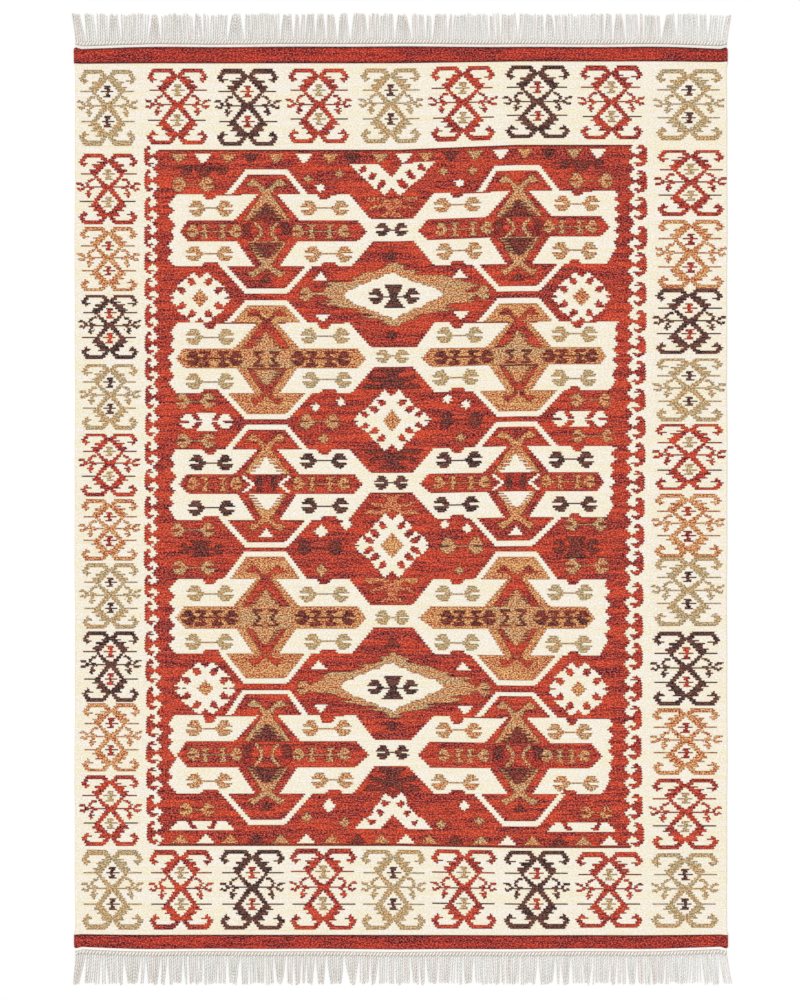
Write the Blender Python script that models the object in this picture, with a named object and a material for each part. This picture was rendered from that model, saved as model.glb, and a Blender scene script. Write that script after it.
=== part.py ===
"""Kilim rug: a flat-woven wool rug with a knotted cotton fringe along both short ends.

Frame: metres, +X across the rug, +Y along it towards the far end, +Z up. The origin is
the centre of the underside, on the floor. Three pieces: the woven cloth, and the fringe
at each end, whose strands are fused to the narrow heading that parts them from the cloth.
"""
import math

import bmesh
import bpy

# Cloth: one flat piece, selvedge to selvedge, its end bands and borders woven in.
CLOTH_WIDTH = 1.7000
CLOTH_LENGTH = 2.3530
CLOTH_SHIFT = 0.0020
CLOTH_THICK = 0.0030
END_BAND_LENGTH = 0.0450
END_BAND_FLARE = 0.0025
CORNER_DROP = 0.0085
CORNER_REACH = 0.0700
CORNER_CUT = 0.0040
SELVEDGE_WAVE = 0.0009
END_WAVE = 0.0012
SIDE_STATIONS = 56
END_STATIONS = 40

# Fringe: warp ends in locks, standing apart beyond a knotted heading.
OVERALL_LENGTH = 2.5330
FRINGE_SPREAD = 1.7200
LOCKS_PER_END = 148
HEADING_GAP = 0.0003
HEADING_WIDTH = 0.0150
LOCK_THICK = 0.0034
LOCK_WIDTH_ROOT = 0.0078
LOCK_WIDTH_TIP = 0.0066
LOCK_SHORTFALL = 0.0070
BUNDLE_LEAN = 0.0030
BUNDLE_LOCKS = 17.0
STRAY_LEAN = 0.0011
STRAY_LOCKS = 5.3
SPLAY_LOCKS = 6

FAR_END = 1
NEAR_END = -1


def ramp(value, low, high):
    """Return 0 below low, 1 above high, and an eased value between them."""
    t = min(max((value - low) / (high - low), 0.0), 1.0)
    return t * t * (3.0 - 2.0 * t)


def selvedge_x(y, side):
    """Return the x of a side edge: slightly wavy, and a little wider at the end bands."""
    band_start = CLOTH_LENGTH / 2 - END_BAND_LENGTH
    flare = END_BAND_FLARE * ramp(abs(y - CLOTH_SHIFT), band_start - 0.008, band_start + 0.004)
    wave = SELVEDGE_WAVE * (0.6 * math.sin(9.0 * y + side) + 0.4 * math.sin(23.0 * y - 2.0 * side))
    return side * (CLOTH_WIDTH / 2 + flare) + wave


def end_y(x, end):
    """Return the y of an end edge: nearly straight, drooping towards both corners."""
    corner = (abs(x) - CLOTH_WIDTH / 2 + CORNER_REACH) / CORNER_REACH
    droop = CORNER_DROP * max(corner, 0.0) ** 2
    wave = END_WAVE * (0.6 * math.sin(7.0 * x + 2.0 * end) + 0.4 * math.sin(19.0 * x + end))
    return CLOTH_SHIFT + end * (CLOTH_LENGTH / 2 - END_WAVE - droop) + wave


def spaced(low, high, count):
    """Return count evenly spaced values from low to high."""
    return [low + (high - low) * i / (count - 1) for i in range(count)]


def end_stations():
    """Return the x of each point of the cloth's end edges, left to right."""
    reach = CLOTH_WIDTH / 2 + END_BAND_FLARE - CORNER_CUT
    return spaced(-reach, reach, END_STATIONS)


def end_edge_y(x, end):
    """Return the y of the cloth's end edge at x, read along the edge's own straight pieces."""
    stations = end_stations()
    step = stations[1] - stations[0]
    index = int(min(max((x - stations[0]) / step, 0.0), END_STATIONS - 2.0))
    share = (x - stations[index]) / step
    return (1.0 - share) * end_y(stations[index], end) + share * end_y(stations[index + 1], end)


def cloth_outline():
    """Return the cloth's outline as (x, y) points, anticlockwise from the near left corner."""
    xs = end_stations()
    low = end_y(xs[0], NEAR_END) + CORNER_CUT
    high = end_y(xs[-1], FAR_END) - CORNER_CUT
    ys = spaced(low, high, SIDE_STATIONS)
    near = [(x, end_y(x, NEAR_END)) for x in xs]
    right = [(selvedge_x(y, 1), y) for y in ys]
    far = [(x, end_y(x, FAR_END)) for x in reversed(xs)]
    left = [(selvedge_x(y, -1), y) for y in reversed(ys)]
    return near + right + far + left


def even_noise(index, seed):
    """Return a repeatable value from 0 to 1 for a whole number."""
    return math.modf(abs(math.sin(12.9898 * index + 78.233 * seed)) * 43758.5453)[0]


def lock_lean(index, end):
    """Return how far a lock's tip leans along x, in neighbouring bundles, splayed at corners."""
    bundle = BUNDLE_LEAN * math.sin(2.0 * math.pi * index / BUNDLE_LOCKS + 1.7 * end)
    stray = STRAY_LEAN * math.sin(2.0 * math.pi * index / STRAY_LOCKS + 0.9 * end)
    from_left = max(0.0, 1.0 - index / SPLAY_LOCKS)
    from_right = max(0.0, 1.0 - (LOCKS_PER_END - 1 - index) / SPLAY_LOCKS)
    corner = (FRINGE_SPREAD - CLOTH_WIDTH + LOCK_WIDTH_ROOT) / 2
    calm = 1.0 - from_left - from_right
    return (bundle + stray) * calm + corner * (from_right - from_left)


def lock_shortfalls(end):
    """Return how far each lock stops short of the fringe's full reach; the longest reaches it."""
    raw = [even_noise(i, 2.0 + end) for i in range(LOCKS_PER_END)]
    low, high = min(raw), max(raw)
    return [LOCK_SHORTFALL * (value - low) / (high - low) for value in raw]


def lock_rows(end):
    """Yield each lock as its (left x, right x, y) at the root, the middle and the tip."""
    pitch = CLOTH_WIDTH / LOCKS_PER_END
    shortfalls = lock_shortfalls(end)
    for index, shortfall in enumerate(shortfalls):
        x = -CLOTH_WIDTH / 2 + (index + 0.5) * pitch
        y_root = end_edge_y(x, end) + end * (HEADING_GAP + HEADING_WIDTH)
        y_tip = end * (OVERALL_LENGTH / 2 - shortfall)
        lean = lock_lean(index, end)
        rows = []
        for share, width in ((0.0, LOCK_WIDTH_ROOT), (0.5, LOCK_WIDTH_ROOT), (1.0, LOCK_WIDTH_TIP)):
            middle = x + lean * share ** 1.3
            y = y_root + share * (y_tip - y_root)
            rows.append((middle - width / 2, middle + width / 2, y))
        yield rows


def strip_column(mesh, x, y_outer, end):
    """Add the heading's two points at x, on its cloth side and its fringe side."""
    inner = mesh.verts.new((x, end_edge_y(x, end) + end * HEADING_GAP, 0.0))
    outer = mesh.verts.new((x, y_outer, 0.0))
    return inner, outer


def fringe_footprint(mesh, end):
    """Lay out one fringe flat: the heading as a strip, with each lock joined along its root."""
    previous = None
    for rows in lock_rows(end):
        left, right, y_root = rows[0]
        columns = [strip_column(mesh, left, y_root, end), strip_column(mesh, right, y_root, end)]
        if previous:
            mesh.faces.new((previous[0], columns[0][0], columns[0][1], previous[1]))
        mesh.faces.new((columns[0][0], columns[1][0], columns[1][1], columns[0][1]))
        edge = (columns[0][1], columns[1][1])
        for row_left, row_right, y in rows[1:]:
            corners = (mesh.verts.new((row_left, y, 0.0)), mesh.verts.new((row_right, y, 0.0)))
            mesh.faces.new((edge[0], edge[1], corners[1], corners[0]))
            edge = corners
        previous = columns[1]


def thicken(mesh, height):
    """Raise a flat footprint into a closed solid of the given height, resting on z = 0."""
    bmesh.ops.recalc_face_normals(mesh, faces=mesh.faces)
    raised = bmesh.ops.extrude_face_region(mesh, geom=list(mesh.faces), use_keep_orig=True)
    moved = [item for item in raised["geom"] if isinstance(item, bmesh.types.BMVert)]
    bmesh.ops.translate(mesh, verts=moved, vec=(0.0, 0.0, height))
    bmesh.ops.recalc_face_normals(mesh, faces=mesh.faces)


def fabric(name, colour, roughness):
    """Return a plain cloth material."""
    material = bpy.data.materials.new(name)
    material.use_nodes = True
    shader = material.node_tree.nodes["Principled BSDF"]
    shader.inputs["Base Color"].default_value = (*colour, 1.0)
    shader.inputs["Roughness"].default_value = roughness
    shader.inputs["Metallic"].default_value = 0.0
    return material


def add_piece(name, mesh, material, parent):
    """Turn a bmesh into a named object under the rug's empty."""
    data = bpy.data.meshes.new(name)
    mesh.to_mesh(data)
    mesh.free()
    data.materials.append(material)
    piece = bpy.data.objects.new(name, data)
    piece.parent = parent
    bpy.context.scene.collection.objects.link(piece)
    return piece


def add_cloth(material, parent):
    """Build the woven cloth as one flat slab with a slightly uneven outline."""
    mesh = bmesh.new()
    mesh.faces.new([mesh.verts.new((x, y, 0.0)) for x, y in cloth_outline()])
    thicken(mesh, CLOTH_THICK)
    return add_piece("rug_cloth", mesh, material, parent)


def add_fringe(name, end, material, parent):
    """Build one end's fringe: separate locks fused to their heading."""
    mesh = bmesh.new()
    fringe_footprint(mesh, end)
    thicken(mesh, LOCK_THICK)
    return add_piece(name, mesh, material, parent)


def clear_scene():
    """Remove whatever the scene holds."""
    for item in list(bpy.data.objects):
        bpy.data.objects.remove(item, do_unlink=True)


def main():
    """Build the rug."""
    clear_scene()
    rug = bpy.data.objects.new("kilim_rug", None)
    bpy.context.scene.collection.objects.link(rug)
    add_cloth(fabric("wool_weave", (0.48, 0.07, 0.04), 0.9), rug)
    warp_ends = fabric("cotton_fringe", (0.74, 0.70, 0.63), 0.85)
    add_fringe("fringe_far", FAR_END, warp_ends, rug)
    add_fringe("fringe_near", NEAR_END, warp_ends, rug)


main()
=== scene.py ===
"""Kilim rug: the woven cloth with its whole pattern, and the knotted fringe of both ends.

The pattern is drawn on a weaver's chart, row of weft by row of weft, and the cloth's mesh
then follows the chart: every change of dye is an edge between two faces. Chart places count
squares from the left and from the top of the chart paper. A square is one pixel of the
photograph's frame of 800 by 1000, where the figures were measured, and SQUARE metres of cloth.
"""

import logging
import math
from abc import ABC, abstractmethod
from dataclasses import dataclass, field
from enum import Enum
from itertools import cycle
from typing import ClassVar, Iterable, NamedTuple, Sequence

import bpy
import numpy as np
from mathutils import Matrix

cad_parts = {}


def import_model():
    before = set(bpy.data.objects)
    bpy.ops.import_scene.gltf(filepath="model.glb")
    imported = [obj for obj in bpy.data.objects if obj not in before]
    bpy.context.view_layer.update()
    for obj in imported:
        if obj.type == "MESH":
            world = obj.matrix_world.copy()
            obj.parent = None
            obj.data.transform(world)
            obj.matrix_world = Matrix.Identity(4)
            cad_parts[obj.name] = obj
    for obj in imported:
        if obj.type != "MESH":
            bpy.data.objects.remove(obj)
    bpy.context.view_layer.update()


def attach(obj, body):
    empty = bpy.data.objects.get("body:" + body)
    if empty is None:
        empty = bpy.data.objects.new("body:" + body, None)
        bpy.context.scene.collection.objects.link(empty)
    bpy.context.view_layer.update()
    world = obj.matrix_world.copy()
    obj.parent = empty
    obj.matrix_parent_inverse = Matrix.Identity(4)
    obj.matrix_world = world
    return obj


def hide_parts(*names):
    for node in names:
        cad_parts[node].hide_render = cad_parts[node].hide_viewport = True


LOG = logging.getLogger("kilim_rug")

Point = tuple[float, float]
Outline = Sequence[Point]
Colour = tuple[float, float, float]
Screen = tuple[int, int, int]
Socket = bpy.types.NodeSocket

CLOTH_WIDTH = 1.7000
CLOTH_LENGTH = 2.3530
CLOTH_SHIFT = 0.0020
CLOTH_THICK = 0.0030
OVERALL_LENGTH = 2.5330
FAR_END = 1
NEAR_END = -1

SQUARES_ACROSS = 652.4
SQUARE = CLOTH_WIDTH / SQUARES_ACROSS
CHART_CENTRE_X = 400.85
CHART_CENTRE_Y = 498.6


def ramp(value: np.ndarray | float, low: float, high: float) -> np.ndarray | float:
    """Return 0 below low, 1 above high, and an eased value between them."""
    t = np.clip((value - low) / (high - low), 0.0, 1.0)
    return t * t * (3.0 - 2.0 * t)


def table_value(table: Sequence[Point], at: np.ndarray | float) -> np.ndarray | float:
    """Return the value at a place, by straight lines between the rows of a (place, value) table."""
    places, values = zip(*table)
    return np.interp(at, places, values)


def even_noise(index: float, seed: float) -> float:
    """Return a repeatable value from 0 to 1 for a number."""
    return math.modf(abs(math.sin(12.9898 * index + 78.233 * seed)) * 43758.5453)[0]


# --------------------------------------------------------------------------- outline


@dataclass(frozen=True)
class ClothOutline:
    """The edges of the laid cloth, in metres: the same slow waves as the solid below it."""

    band_length: float = 0.0450
    band_flare: float = 0.0025
    corner_drop: float = 0.0068
    corner_reach: float = 0.2300
    ear_rise: float = 0.0052
    ear_width: float = 0.0190
    selvedge_wave: float = 0.0009
    end_wave: float = 0.0012

    def selvedge_x(self, y: np.ndarray, side: int) -> np.ndarray:
        """Return the x of a side edge at y.

        Args:
            y: Where along the cloth.
            side: 1 for the right side, -1 for the left.

        Returns:
            The x of the edge, in metres.
        """
        band_start = CLOTH_LENGTH / 2 - self.band_length
        flare = self.band_flare * ramp(np.abs(y - CLOTH_SHIFT), band_start - 0.008, band_start + 0.004)
        wave = 0.6 * np.sin(9.0 * y + side) + 0.4 * np.sin(23.0 * y - 2.0 * side)
        return side * (CLOTH_WIDTH / 2 + flare) + self.selvedge_wave * wave

    def end_y(self, x: np.ndarray, end: int) -> np.ndarray:
        """Return the y of an end edge at x.

        Args:
            x: Where across the cloth.
            end: FAR_END or NEAR_END.

        Returns:
            The y of the edge, in metres.
        """
        corner = (np.abs(x) - CLOTH_WIDTH / 2 + self.corner_reach) / self.corner_reach
        droop = self.corner_drop * np.maximum(corner, 0.0) ** 1.5
        droop = droop - self.ear_rise * ramp(np.abs(x), CLOTH_WIDTH / 2 - self.ear_width, CLOTH_WIDTH / 2)
        wave = 0.6 * np.sin(7.0 * x + 2.0 * end) + 0.4 * np.sin(19.0 * x + end)
        return CLOTH_SHIFT + end * (CLOTH_LENGTH / 2 - self.end_wave - droop) + self.end_wave * wave


# --------------------------------------------------------------------------- chart


class Dye(Enum):
    """The dyed wools of the weave. The value is also the cloth's material slot."""

    CREAM = 0
    RED = 1
    ORANGE = 2
    TAN = 3
    DARK = 4
    BROWN = 5
    CRIMSON = 6
    KHAKI = 7
    RUST = 8


@dataclass(frozen=True)
class Pull:
    """How far the beaten-up weft drifts off level, in squares, towards the right side."""

    starts_x: float = 398.0
    full_x: float = 518.0
    drift: ClassVar[Sequence[Point]] = (
        (48.0, 0.0), (62.0, -2.0), (100.0, -1.5), (140.0, -3.5), (150.0, -5.0), (194.0, -3.5),
        (240.0, -5.0), (266.0, -2.5), (300.0, -2.5), (323.0, -1.0), (349.0, -1.5), (368.0, -4.0),
        (393.0, -3.0), (420.0, -3.0), (449.0, -3.5), (475.0, -2.0), (493.0, -2.7), (520.0, -3.0),
        (547.0, -1.6), (551.0, 0.0), (579.0, 0.5), (628.0, 0.0), (654.0, 2.0), (684.0, 2.0),
        (715.0, 2.6), (741.0, 2.0), (767.0, 1.0), (793.0, 0.5), (826.0, 1.6), (848.0, 2.2),
        (888.0, 1.6), (936.0, 0.4), (948.0, 0.0),
    )

    def at(self, x: np.ndarray | float, y: np.ndarray | float) -> np.ndarray | float:
        """Return how many squares the weft at a chart place lies below its level row."""
        share = np.clip((x - self.starts_x) / (self.full_x - self.starts_x), 0.0, 1.0)
        return share * table_value(self.drift, y)

    def undo(self, x: float, y: float) -> Point:
        """Return the chart place that ends up at (x, y) in the finished cloth."""
        return x, float(y - self.at(x, y))


@dataclass(frozen=True)
class Place:
    """Where a motif's own middle sits on the chart, and how it is stretched or turned over."""

    x: float
    y: float
    wide: float = 1.0
    tall: float = 1.0

    def lay(self, points: Iterable[Point]) -> list[Point]:
        """Return a motif's points as chart places."""
        return [(self.x + u * self.wide, self.y + v * self.tall) for u, v in points]

    def sides(self) -> tuple["Place", "Place"]:
        """Return this place and its left-to-right mirror."""
        return self, Place(self.x, self.y, -self.wide, self.tall)

    def quarters(self) -> tuple["Place", ...]:
        """Return this place and its mirrors in both directions."""
        right, left = self.sides()
        return right, left, *(Place(p.x, p.y, p.wide, -p.tall) for p in (right, left))

    def move(self, u: float, v: float) -> "Place":
        """Return the same stretch, moved within the motif."""
        return Place(self.x + u * self.wide, self.y + v * self.tall, self.wide, self.tall)


PULL = Pull()


def laid(x: float, y: float, wide: float = 1.0, tall: float = 1.0) -> Place:
    """Return the chart place of something measured on the finished, slightly pulled cloth."""
    return Place(*PULL.undo(x, y), wide, tall)


@dataclass
class Chart:
    """The weaver's chart: the dye of every cell of every row of weft, first row at the far end."""

    rows: int = 690
    cells: int = 1304
    left: float = 74.65
    right: float = 727.05
    top: float = 46.40
    bottom: float = 949.20
    grid: np.ndarray = field(init=False)

    def __post_init__(self) -> None:
        """Start from undyed cream cloth."""
        self.row_height = (self.bottom - self.top) / self.rows
        self.cell_width = (self.right - self.left) / self.cells
        self.row_y = self.top + (np.arange(self.rows) + 0.5) * self.row_height
        self.cell_x = self.left + (np.arange(self.cells) + 0.5) * self.cell_width
        self.grid = np.full((self.rows, self.cells), Dye.CREAM.value, dtype=np.uint8)

    def run(self, row: int, low: float, high: float, dye: Dye) -> None:
        """Weave one row from x low to x high.

        Args:
            row: The row.
            low: Where the run starts.
            high: Where it stops.
            dye: The wool to use.
        """
        if 0 <= row < self.rows:
            first, last = np.searchsorted(self.cell_x, (low, high))
            self.grid[row, first:last] = dye.value

    def fill(self, points: Outline, dye: Dye) -> None:
        """Weave the inside of an outline.

        Args:
            points: The outline's corners as chart places.
            dye: The wool to use.
        """
        edges = list(zip(points, [*points[1:], points[0]]))
        heights = [y for _, y in points]
        first, last = np.searchsorted(self.row_y, (min(heights), max(heights)))
        for row in range(first, last):
            y = self.row_y[row]
            cuts = sorted(
                x0 + (y - y0) * (x1 - x0) / (y1 - y0)
                for (x0, y0), (x1, y1) in edges
                if (y0 > y) != (y1 > y)
            )
            for low, high in zip(cuts[::2], cuts[1::2]):
                self.run(row, low, high, dye)

    def stroke(self, points: Outline, width: float, dye: Dye) -> None:
        """Weave a band of even width along a bent line.

        Args:
            points: The line's corners as chart places.
            width: The band's width in squares.
            dye: The wool to use.
        """
        half = width / 2
        for (x0, y0), (x1, y1) in zip(points, points[1:]):
            top, bottom = np.searchsorted(self.row_y, (min(y0, y1) - half, max(y0, y1) + half))
            left, right = np.searchsorted(self.cell_x, (min(x0, x1) - half, max(x0, x1) + half))
            across, down = np.meshgrid(self.cell_x[left:right] - x0, self.row_y[top:bottom] - y0)
            dx, dy = x1 - x0, y1 - y0
            share = np.clip((across * dx + down * dy) / max(dx * dx + dy * dy, 1e-9), 0.0, 1.0)
            near = (across - share * dx) ** 2 + (down - share * dy) ** 2 <= half * half
            self.grid[top:bottom, left:right][near] = dye.value

    def row_at(self, y: float) -> int:
        """Return the row whose middle is nearest to y."""
        return int(round((y - self.top) / self.row_height - 0.5))

    def pick(self, x0: float, x1: float, y: float, dye: Dye) -> None:
        """Weave a single row between two places: the thinnest line that a kilim can carry."""
        self.run(self.row_at(y), min(x0, x1), max(x0, x1), dye)

    def steps(self, x: float, y: float, halves: Sequence[float], dye: Dye) -> None:
        """Weave centred runs on successive rows, from y down, each with its own half width.

        Args:
            x: The middle of the runs.
            y: The level of the first row.
            halves: Half the width of each run.
            dye: The wool to use.
        """
        first = self.row_at(y)
        for count, half in enumerate(halves):
            self.run(first + count, x - half, x + half, dye)


class Motif(ABC):
    """Something that weaves itself into the chart."""

    @abstractmethod
    def weave(self, chart: Chart) -> None:
        """Draw the motif."""


# --------------------------------------------------------------------------- small motifs


@dataclass(frozen=True)
class Claw(Motif):
    """A round claw, slit on its open side. It opens to the left; a negative wide opens it right."""

    at: Place
    dye: Dye
    slit_dye: Dye
    head: ClassVar[Outline] = (
        (-8.0, -1.6), (-7.4, -3.4), (-5.6, -4.4), (-3.8, -7.4), (3.0, -7.6), (4.8, -4.4),
        (7.9, -0.7), (7.7, 0.9), (4.8, 4.2), (3.1, 7.4), (-2.8, 7.6), (-5.4, 5.0), (-7.9, 2.6),
    )
    slit: ClassVar[Outline] = ((-9.6, -1.15), (0.6, -1.0), (1.4, 0.2), (0.6, 1.3), (-9.6, 1.5))

    def weave(self, chart: Chart) -> None:
        """Draw the round head, then cut its slit."""
        chart.fill(self.at.lay(self.head), self.dye)
        chart.fill(self.at.lay(self.slit), self.slit_dye)


@dataclass(frozen=True)
class Bud(Motif):
    """A round tulip head with a slit one row deep in its open side."""

    at: Place
    dye: Dye
    slit_dye: Dye
    head: ClassVar[Outline] = (
        (-7.2, -1.6), (-6.4, -4.6), (-4.0, -7.8), (2.4, -8.0), (4.4, -5.2), (7.4, -0.8), (7.4, 1.2),
        (4.4, 4.4), (1.2, 6.8), (-1.0, 8.0), (-4.6, 6.0), (-7.4, 3.6),
    )

    def weave(self, chart: Chart) -> None:
        """Draw the head and its slit.

        Args:
            chart: The chart to draw on.
        """
        chart.fill(self.at.lay(self.head), self.dye)
        low, high = self.at.lay(((-7.2, 0.0), (1.0, 0.0)))
        chart.pick(low[0], high[0], self.at.y, self.slit_dye)


@dataclass(frozen=True)
class Pair(Motif):
    """Two claws or two buds back to back, joined by a line one row thick."""

    left_x: float
    right_x: float
    y: float
    dye: Dye
    slit_dye: Dye
    size: float
    head: type[Claw] | type[Bud] = Claw
    level: bool = False

    def weave(self, chart: Chart) -> None:
        """Draw the joining line and both heads.

        Args:
            chart: The chart to draw on.
        """
        middle, half = (self.left_x + self.right_x) / 2, (self.right_x - self.left_x) / 2
        at = Place(middle, self.y) if self.level else laid(middle, self.y)
        chart.pick(middle - half, middle + half, at.y, self.dye)
        for side in (-1, 1):
            place = Place(at.x + side * half, at.y, -side * self.size, self.size)
            self.head(place, self.dye, self.slit_dye).weave(chart)


class Spot(Enum):
    """Outlines of the small single figures scattered between the medallions."""

    DIAMOND = (
        (0.0, -7.0), (2.2, -3.2), (6.6, 0.0), (2.6, 3.0), (0.0, 7.0), (-2.6, 3.0), (-6.6, 0.0),
        (-2.2, -3.2),
    )
    STARLET = (
        (0.0, -6.4), (1.6, -3.0), (4.8, -3.4), (3.4, 0.0), (5.0, 2.6), (1.8, 2.8), (0.0, 6.0),
        (-1.8, 2.8), (-5.0, 3.2), (-3.4, 0.0), (-5.4, -2.6), (-1.6, -3.0),
    )
    UP = ((0.0, -5.2), (7.6, 4.6), (-7.6, 4.6))
    DOWN = ((-7.4, -3.8), (7.4, -3.8), (0.7, 4.4), (-0.7, 4.4))
    LOZENGE = ((0.0, -5.6), (5.8, 0.0), (0.0, 5.6), (-5.8, 0.0))


@dataclass(frozen=True)
class SmallFigure(Motif):
    """One small figure with a plain outline."""

    at: Place
    spot: Spot
    dye: Dye

    def weave(self, chart: Chart) -> None:
        """Draw the figure."""
        chart.fill(self.at.lay(self.spot.value), self.dye)


@dataclass(frozen=True)
class Star(Motif):
    """A cream star of paired points with leaf-shaped gaps and a diamond at its heart."""

    at: Place
    diamond: Point
    edge: Outline
    leaves: Sequence[Outline]
    side_slit: float = 0.0
    slit_drop: ClassVar[float] = 0.8

    def weave(self, chart: Chart) -> None:
        """Draw the four mirrored quarters, then the gaps, the slits and the diamond.

        Args:
            chart: The chart to draw on.
        """
        for place in self.at.quarters():
            chart.fill(place.lay([(0.0, 0.0), *self.edge, (0.0, 0.0)]), Dye.CREAM)
        for place in self.at.quarters():
            for leaf in self.leaves:
                chart.fill(place.lay(leaf), Dye.RED)
        if self.side_slit:
            reach = abs(self.edge[-1][0] * self.at.wide)
            for side in (-1, 1):
                tip = self.at.x + side * reach
                chart.pick(tip, tip - side * self.side_slit, self.at.y + self.slit_drop, Dye.BROWN)
        half_width, half_height = self.diamond
        heart = ((0.0, -half_height), (half_width, 0.0), (0.0, half_height), (-half_width, 0.0))
        chart.fill(Place(self.at.x, self.at.y).lay(heart), Dye.ORANGE)


SIDE_STAR_EDGE: Outline = (
    (0.0, -19.6), (5.8, -25.4), (9.0, -23.8), (12.9, -19.3), (15.3, -17.6), (18.2, -15.8),
    (22.9, -11.5), (23.3, -7.4), (26.4, -4.6), (29.0, -2.0), (21.2, 0.4),
)
SIDE_STAR_LEAVES: Sequence[Outline] = (
    ((3.8, -14.6), (5.6, -18.8), (12.4, -20.6), (11.6, -15.8), (8.4, -11.4)),
    ((13.2, -7.0), (16.0, -11.2), (24.0, -11.2), (21.4, -7.2), (17.0, -3.0)),
)
HEART_STAR_EDGE: Outline = (
    (0.0, -24.0), (7.4, -31.2), (10.4, -28.2), (13.6, -22.9), (17.8, -21.6), (20.2, -17.8),
    (24.2, -13.0), (29.6, -9.4), (33.4, -7.4), (36.6, -3.4), (40.3, 0.6),
)
HEART_STAR_LEAVES: Sequence[Outline] = (
    ((9.5, -13.6), (5.8, -17.2), (8.6, -21.2), (15.8, -21.2), (13.4, -16.5)),
    ((17.5, -6.2), (12.8, -9.8), (16.0, -14.4), (24.2, -13.8), (21.2, -9.8)),
    ((27.0, -2.0), (22.8, -5.0), (26.0, -8.2), (33.0, -8.4), (30.6, -5.0)),
)
BROAD_STAR_LEAVES: Sequence[Outline] = (
    ((8.6, -14.4), (5.2, -17.8), (8.4, -22.0), (13.8, -22.8), (13.2, -17.2)),
    ((16.4, -6.4), (12.2, -10.2), (16.6, -15.0), (24.0, -14.8), (20.8, -9.0)),
    ((20.8, -0.8), (18.6, -5.0), (24.6, -8.0), (31.0, -9.0), (27.0, -2.4)),
)


@dataclass(frozen=True)
class HalfStar(Motif):
    """Half a star at the far or the near edge of the field, given by its whole outline."""

    outline: Outline
    leaves: Sequence[Outline]

    def weave(self, chart: Chart) -> None:
        """Draw the half star, then its gaps.

        Args:
            chart: The chart to draw on.
        """
        chart.fill(self.outline, Dye.CREAM)
        for leaf in self.leaves:
            chart.fill(leaf, Dye.CRIMSON)


@dataclass(frozen=True)
class Hourglass(Motif):
    """An hourglass between two claws, joined at its waist."""

    at: Place
    dye: Dye
    ground: Dye
    claw_reach: float = 18.6
    half_top: float = 10.6
    half_base: float = 11.6
    half_height: float = 9.8
    waist: float = 4.6
    claw_size: float = 0.98
    claw_rise: ClassVar[float] = 0.4
    half_waist: ClassVar[float] = 1.4

    def weave(self, chart: Chart) -> None:
        """Draw the hourglass, its joining line and both claws.

        Args:
            chart: The chart to draw on.
        """
        top, base, high = self.half_top, self.half_base, self.half_height
        narrow, low = self.waist, self.half_waist
        body = (
            (-top, -high), (top, -high), (narrow, -low), (narrow, low), (base, high), (-base, high),
            (-narrow, low), (-narrow, -low),
        )
        chart.fill(self.at.lay(body), self.dye)
        chart.pick(self.at.x - self.claw_reach, self.at.x + self.claw_reach, self.at.y, self.dye)
        for side in (-1, 1):
            x, y = self.at.x + side * self.claw_reach, self.at.y - self.claw_rise
            claw = Place(x, y, -side * self.claw_size, self.claw_size)
            Claw(claw, self.dye, self.ground).weave(chart)


@dataclass(frozen=True)
class Crab(Motif):
    """A squat figure with a pair of horns, a pair of arms and a broad foot, 22 squares high."""

    at: Place
    dye: Dye
    horn: ClassVar[Outline] = ((-13.0, -10.4), (-3.6, -10.6), (-3.0, -6.4), (-8.4, -6.0))
    trunk: ClassVar[Outline] = (
        (-6.4, -9.4), (6.4, -9.4), (5.0, -3.0), (8.8, 1.6), (10.6, 6.6), (3.4, 9.6),
        (0.0, 5.6), (-3.4, 9.6), (-10.6, 6.6), (-8.8, 1.6), (-5.0, -3.0),
    )
    arm_width: ClassVar[float] = 3.6
    arm: ClassVar[Outline] = ((-6.0, 3.6), (-12.0, 0.6), (-16.6, 1.0), (-20.6, -1.6))
    foot: ClassVar[Outline] = (
        (-27.4, 8.6), (-24.0, 5.6), (-19.0, 4.6), (-15.4, 6.6), (-9.0, 7.2), (-5.6, 10.4), (-27.4, 10.4),
    )

    def weave(self, chart: Chart) -> None:
        """Draw the trunk, then both halves of the rest.

        Args:
            chart: The chart to draw on.
        """
        chart.fill(self.at.lay(self.trunk), self.dye)
        for place in self.at.sides():
            chart.fill(place.lay(self.horn), self.dye)
            chart.stroke(place.lay(self.arm), self.arm_width, self.dye)
            chart.fill(place.lay(self.foot), self.dye)


@dataclass(frozen=True)
class CornerFigure(Motif):
    """The lower half of a dark hourglass, with its claws, at a far corner of the field."""

    at: Place
    glass: ClassVar[Outline] = ((-10.6, -4.2), (10.6, -4.2), (4.0, 4.4), (-4.0, 4.4))
    line: ClassVar[tuple[float, float, float]] = (-30.0, 24.0, -3.0)
    claw: ClassVar[Place] = Place(17.6, -0.8, 0.72, 0.62)

    def weave(self, chart: Chart) -> None:
        """Draw the half glass, its line and both claws.

        Args:
            chart: The chart to draw on.
        """
        left, right, level = self.line
        chart.fill(self.at.lay(self.glass), Dye.BROWN)
        chart.pick(self.at.x + left, self.at.x + right, self.at.y + level, Dye.BROWN)
        for side in (-1, 1):
            x, y = self.at.x + side * self.claw.x, self.at.y + self.claw.y
            Claw(Place(x, y, -side * self.claw.wide, self.claw.tall), Dye.BROWN, Dye.RED).weave(chart)


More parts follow.
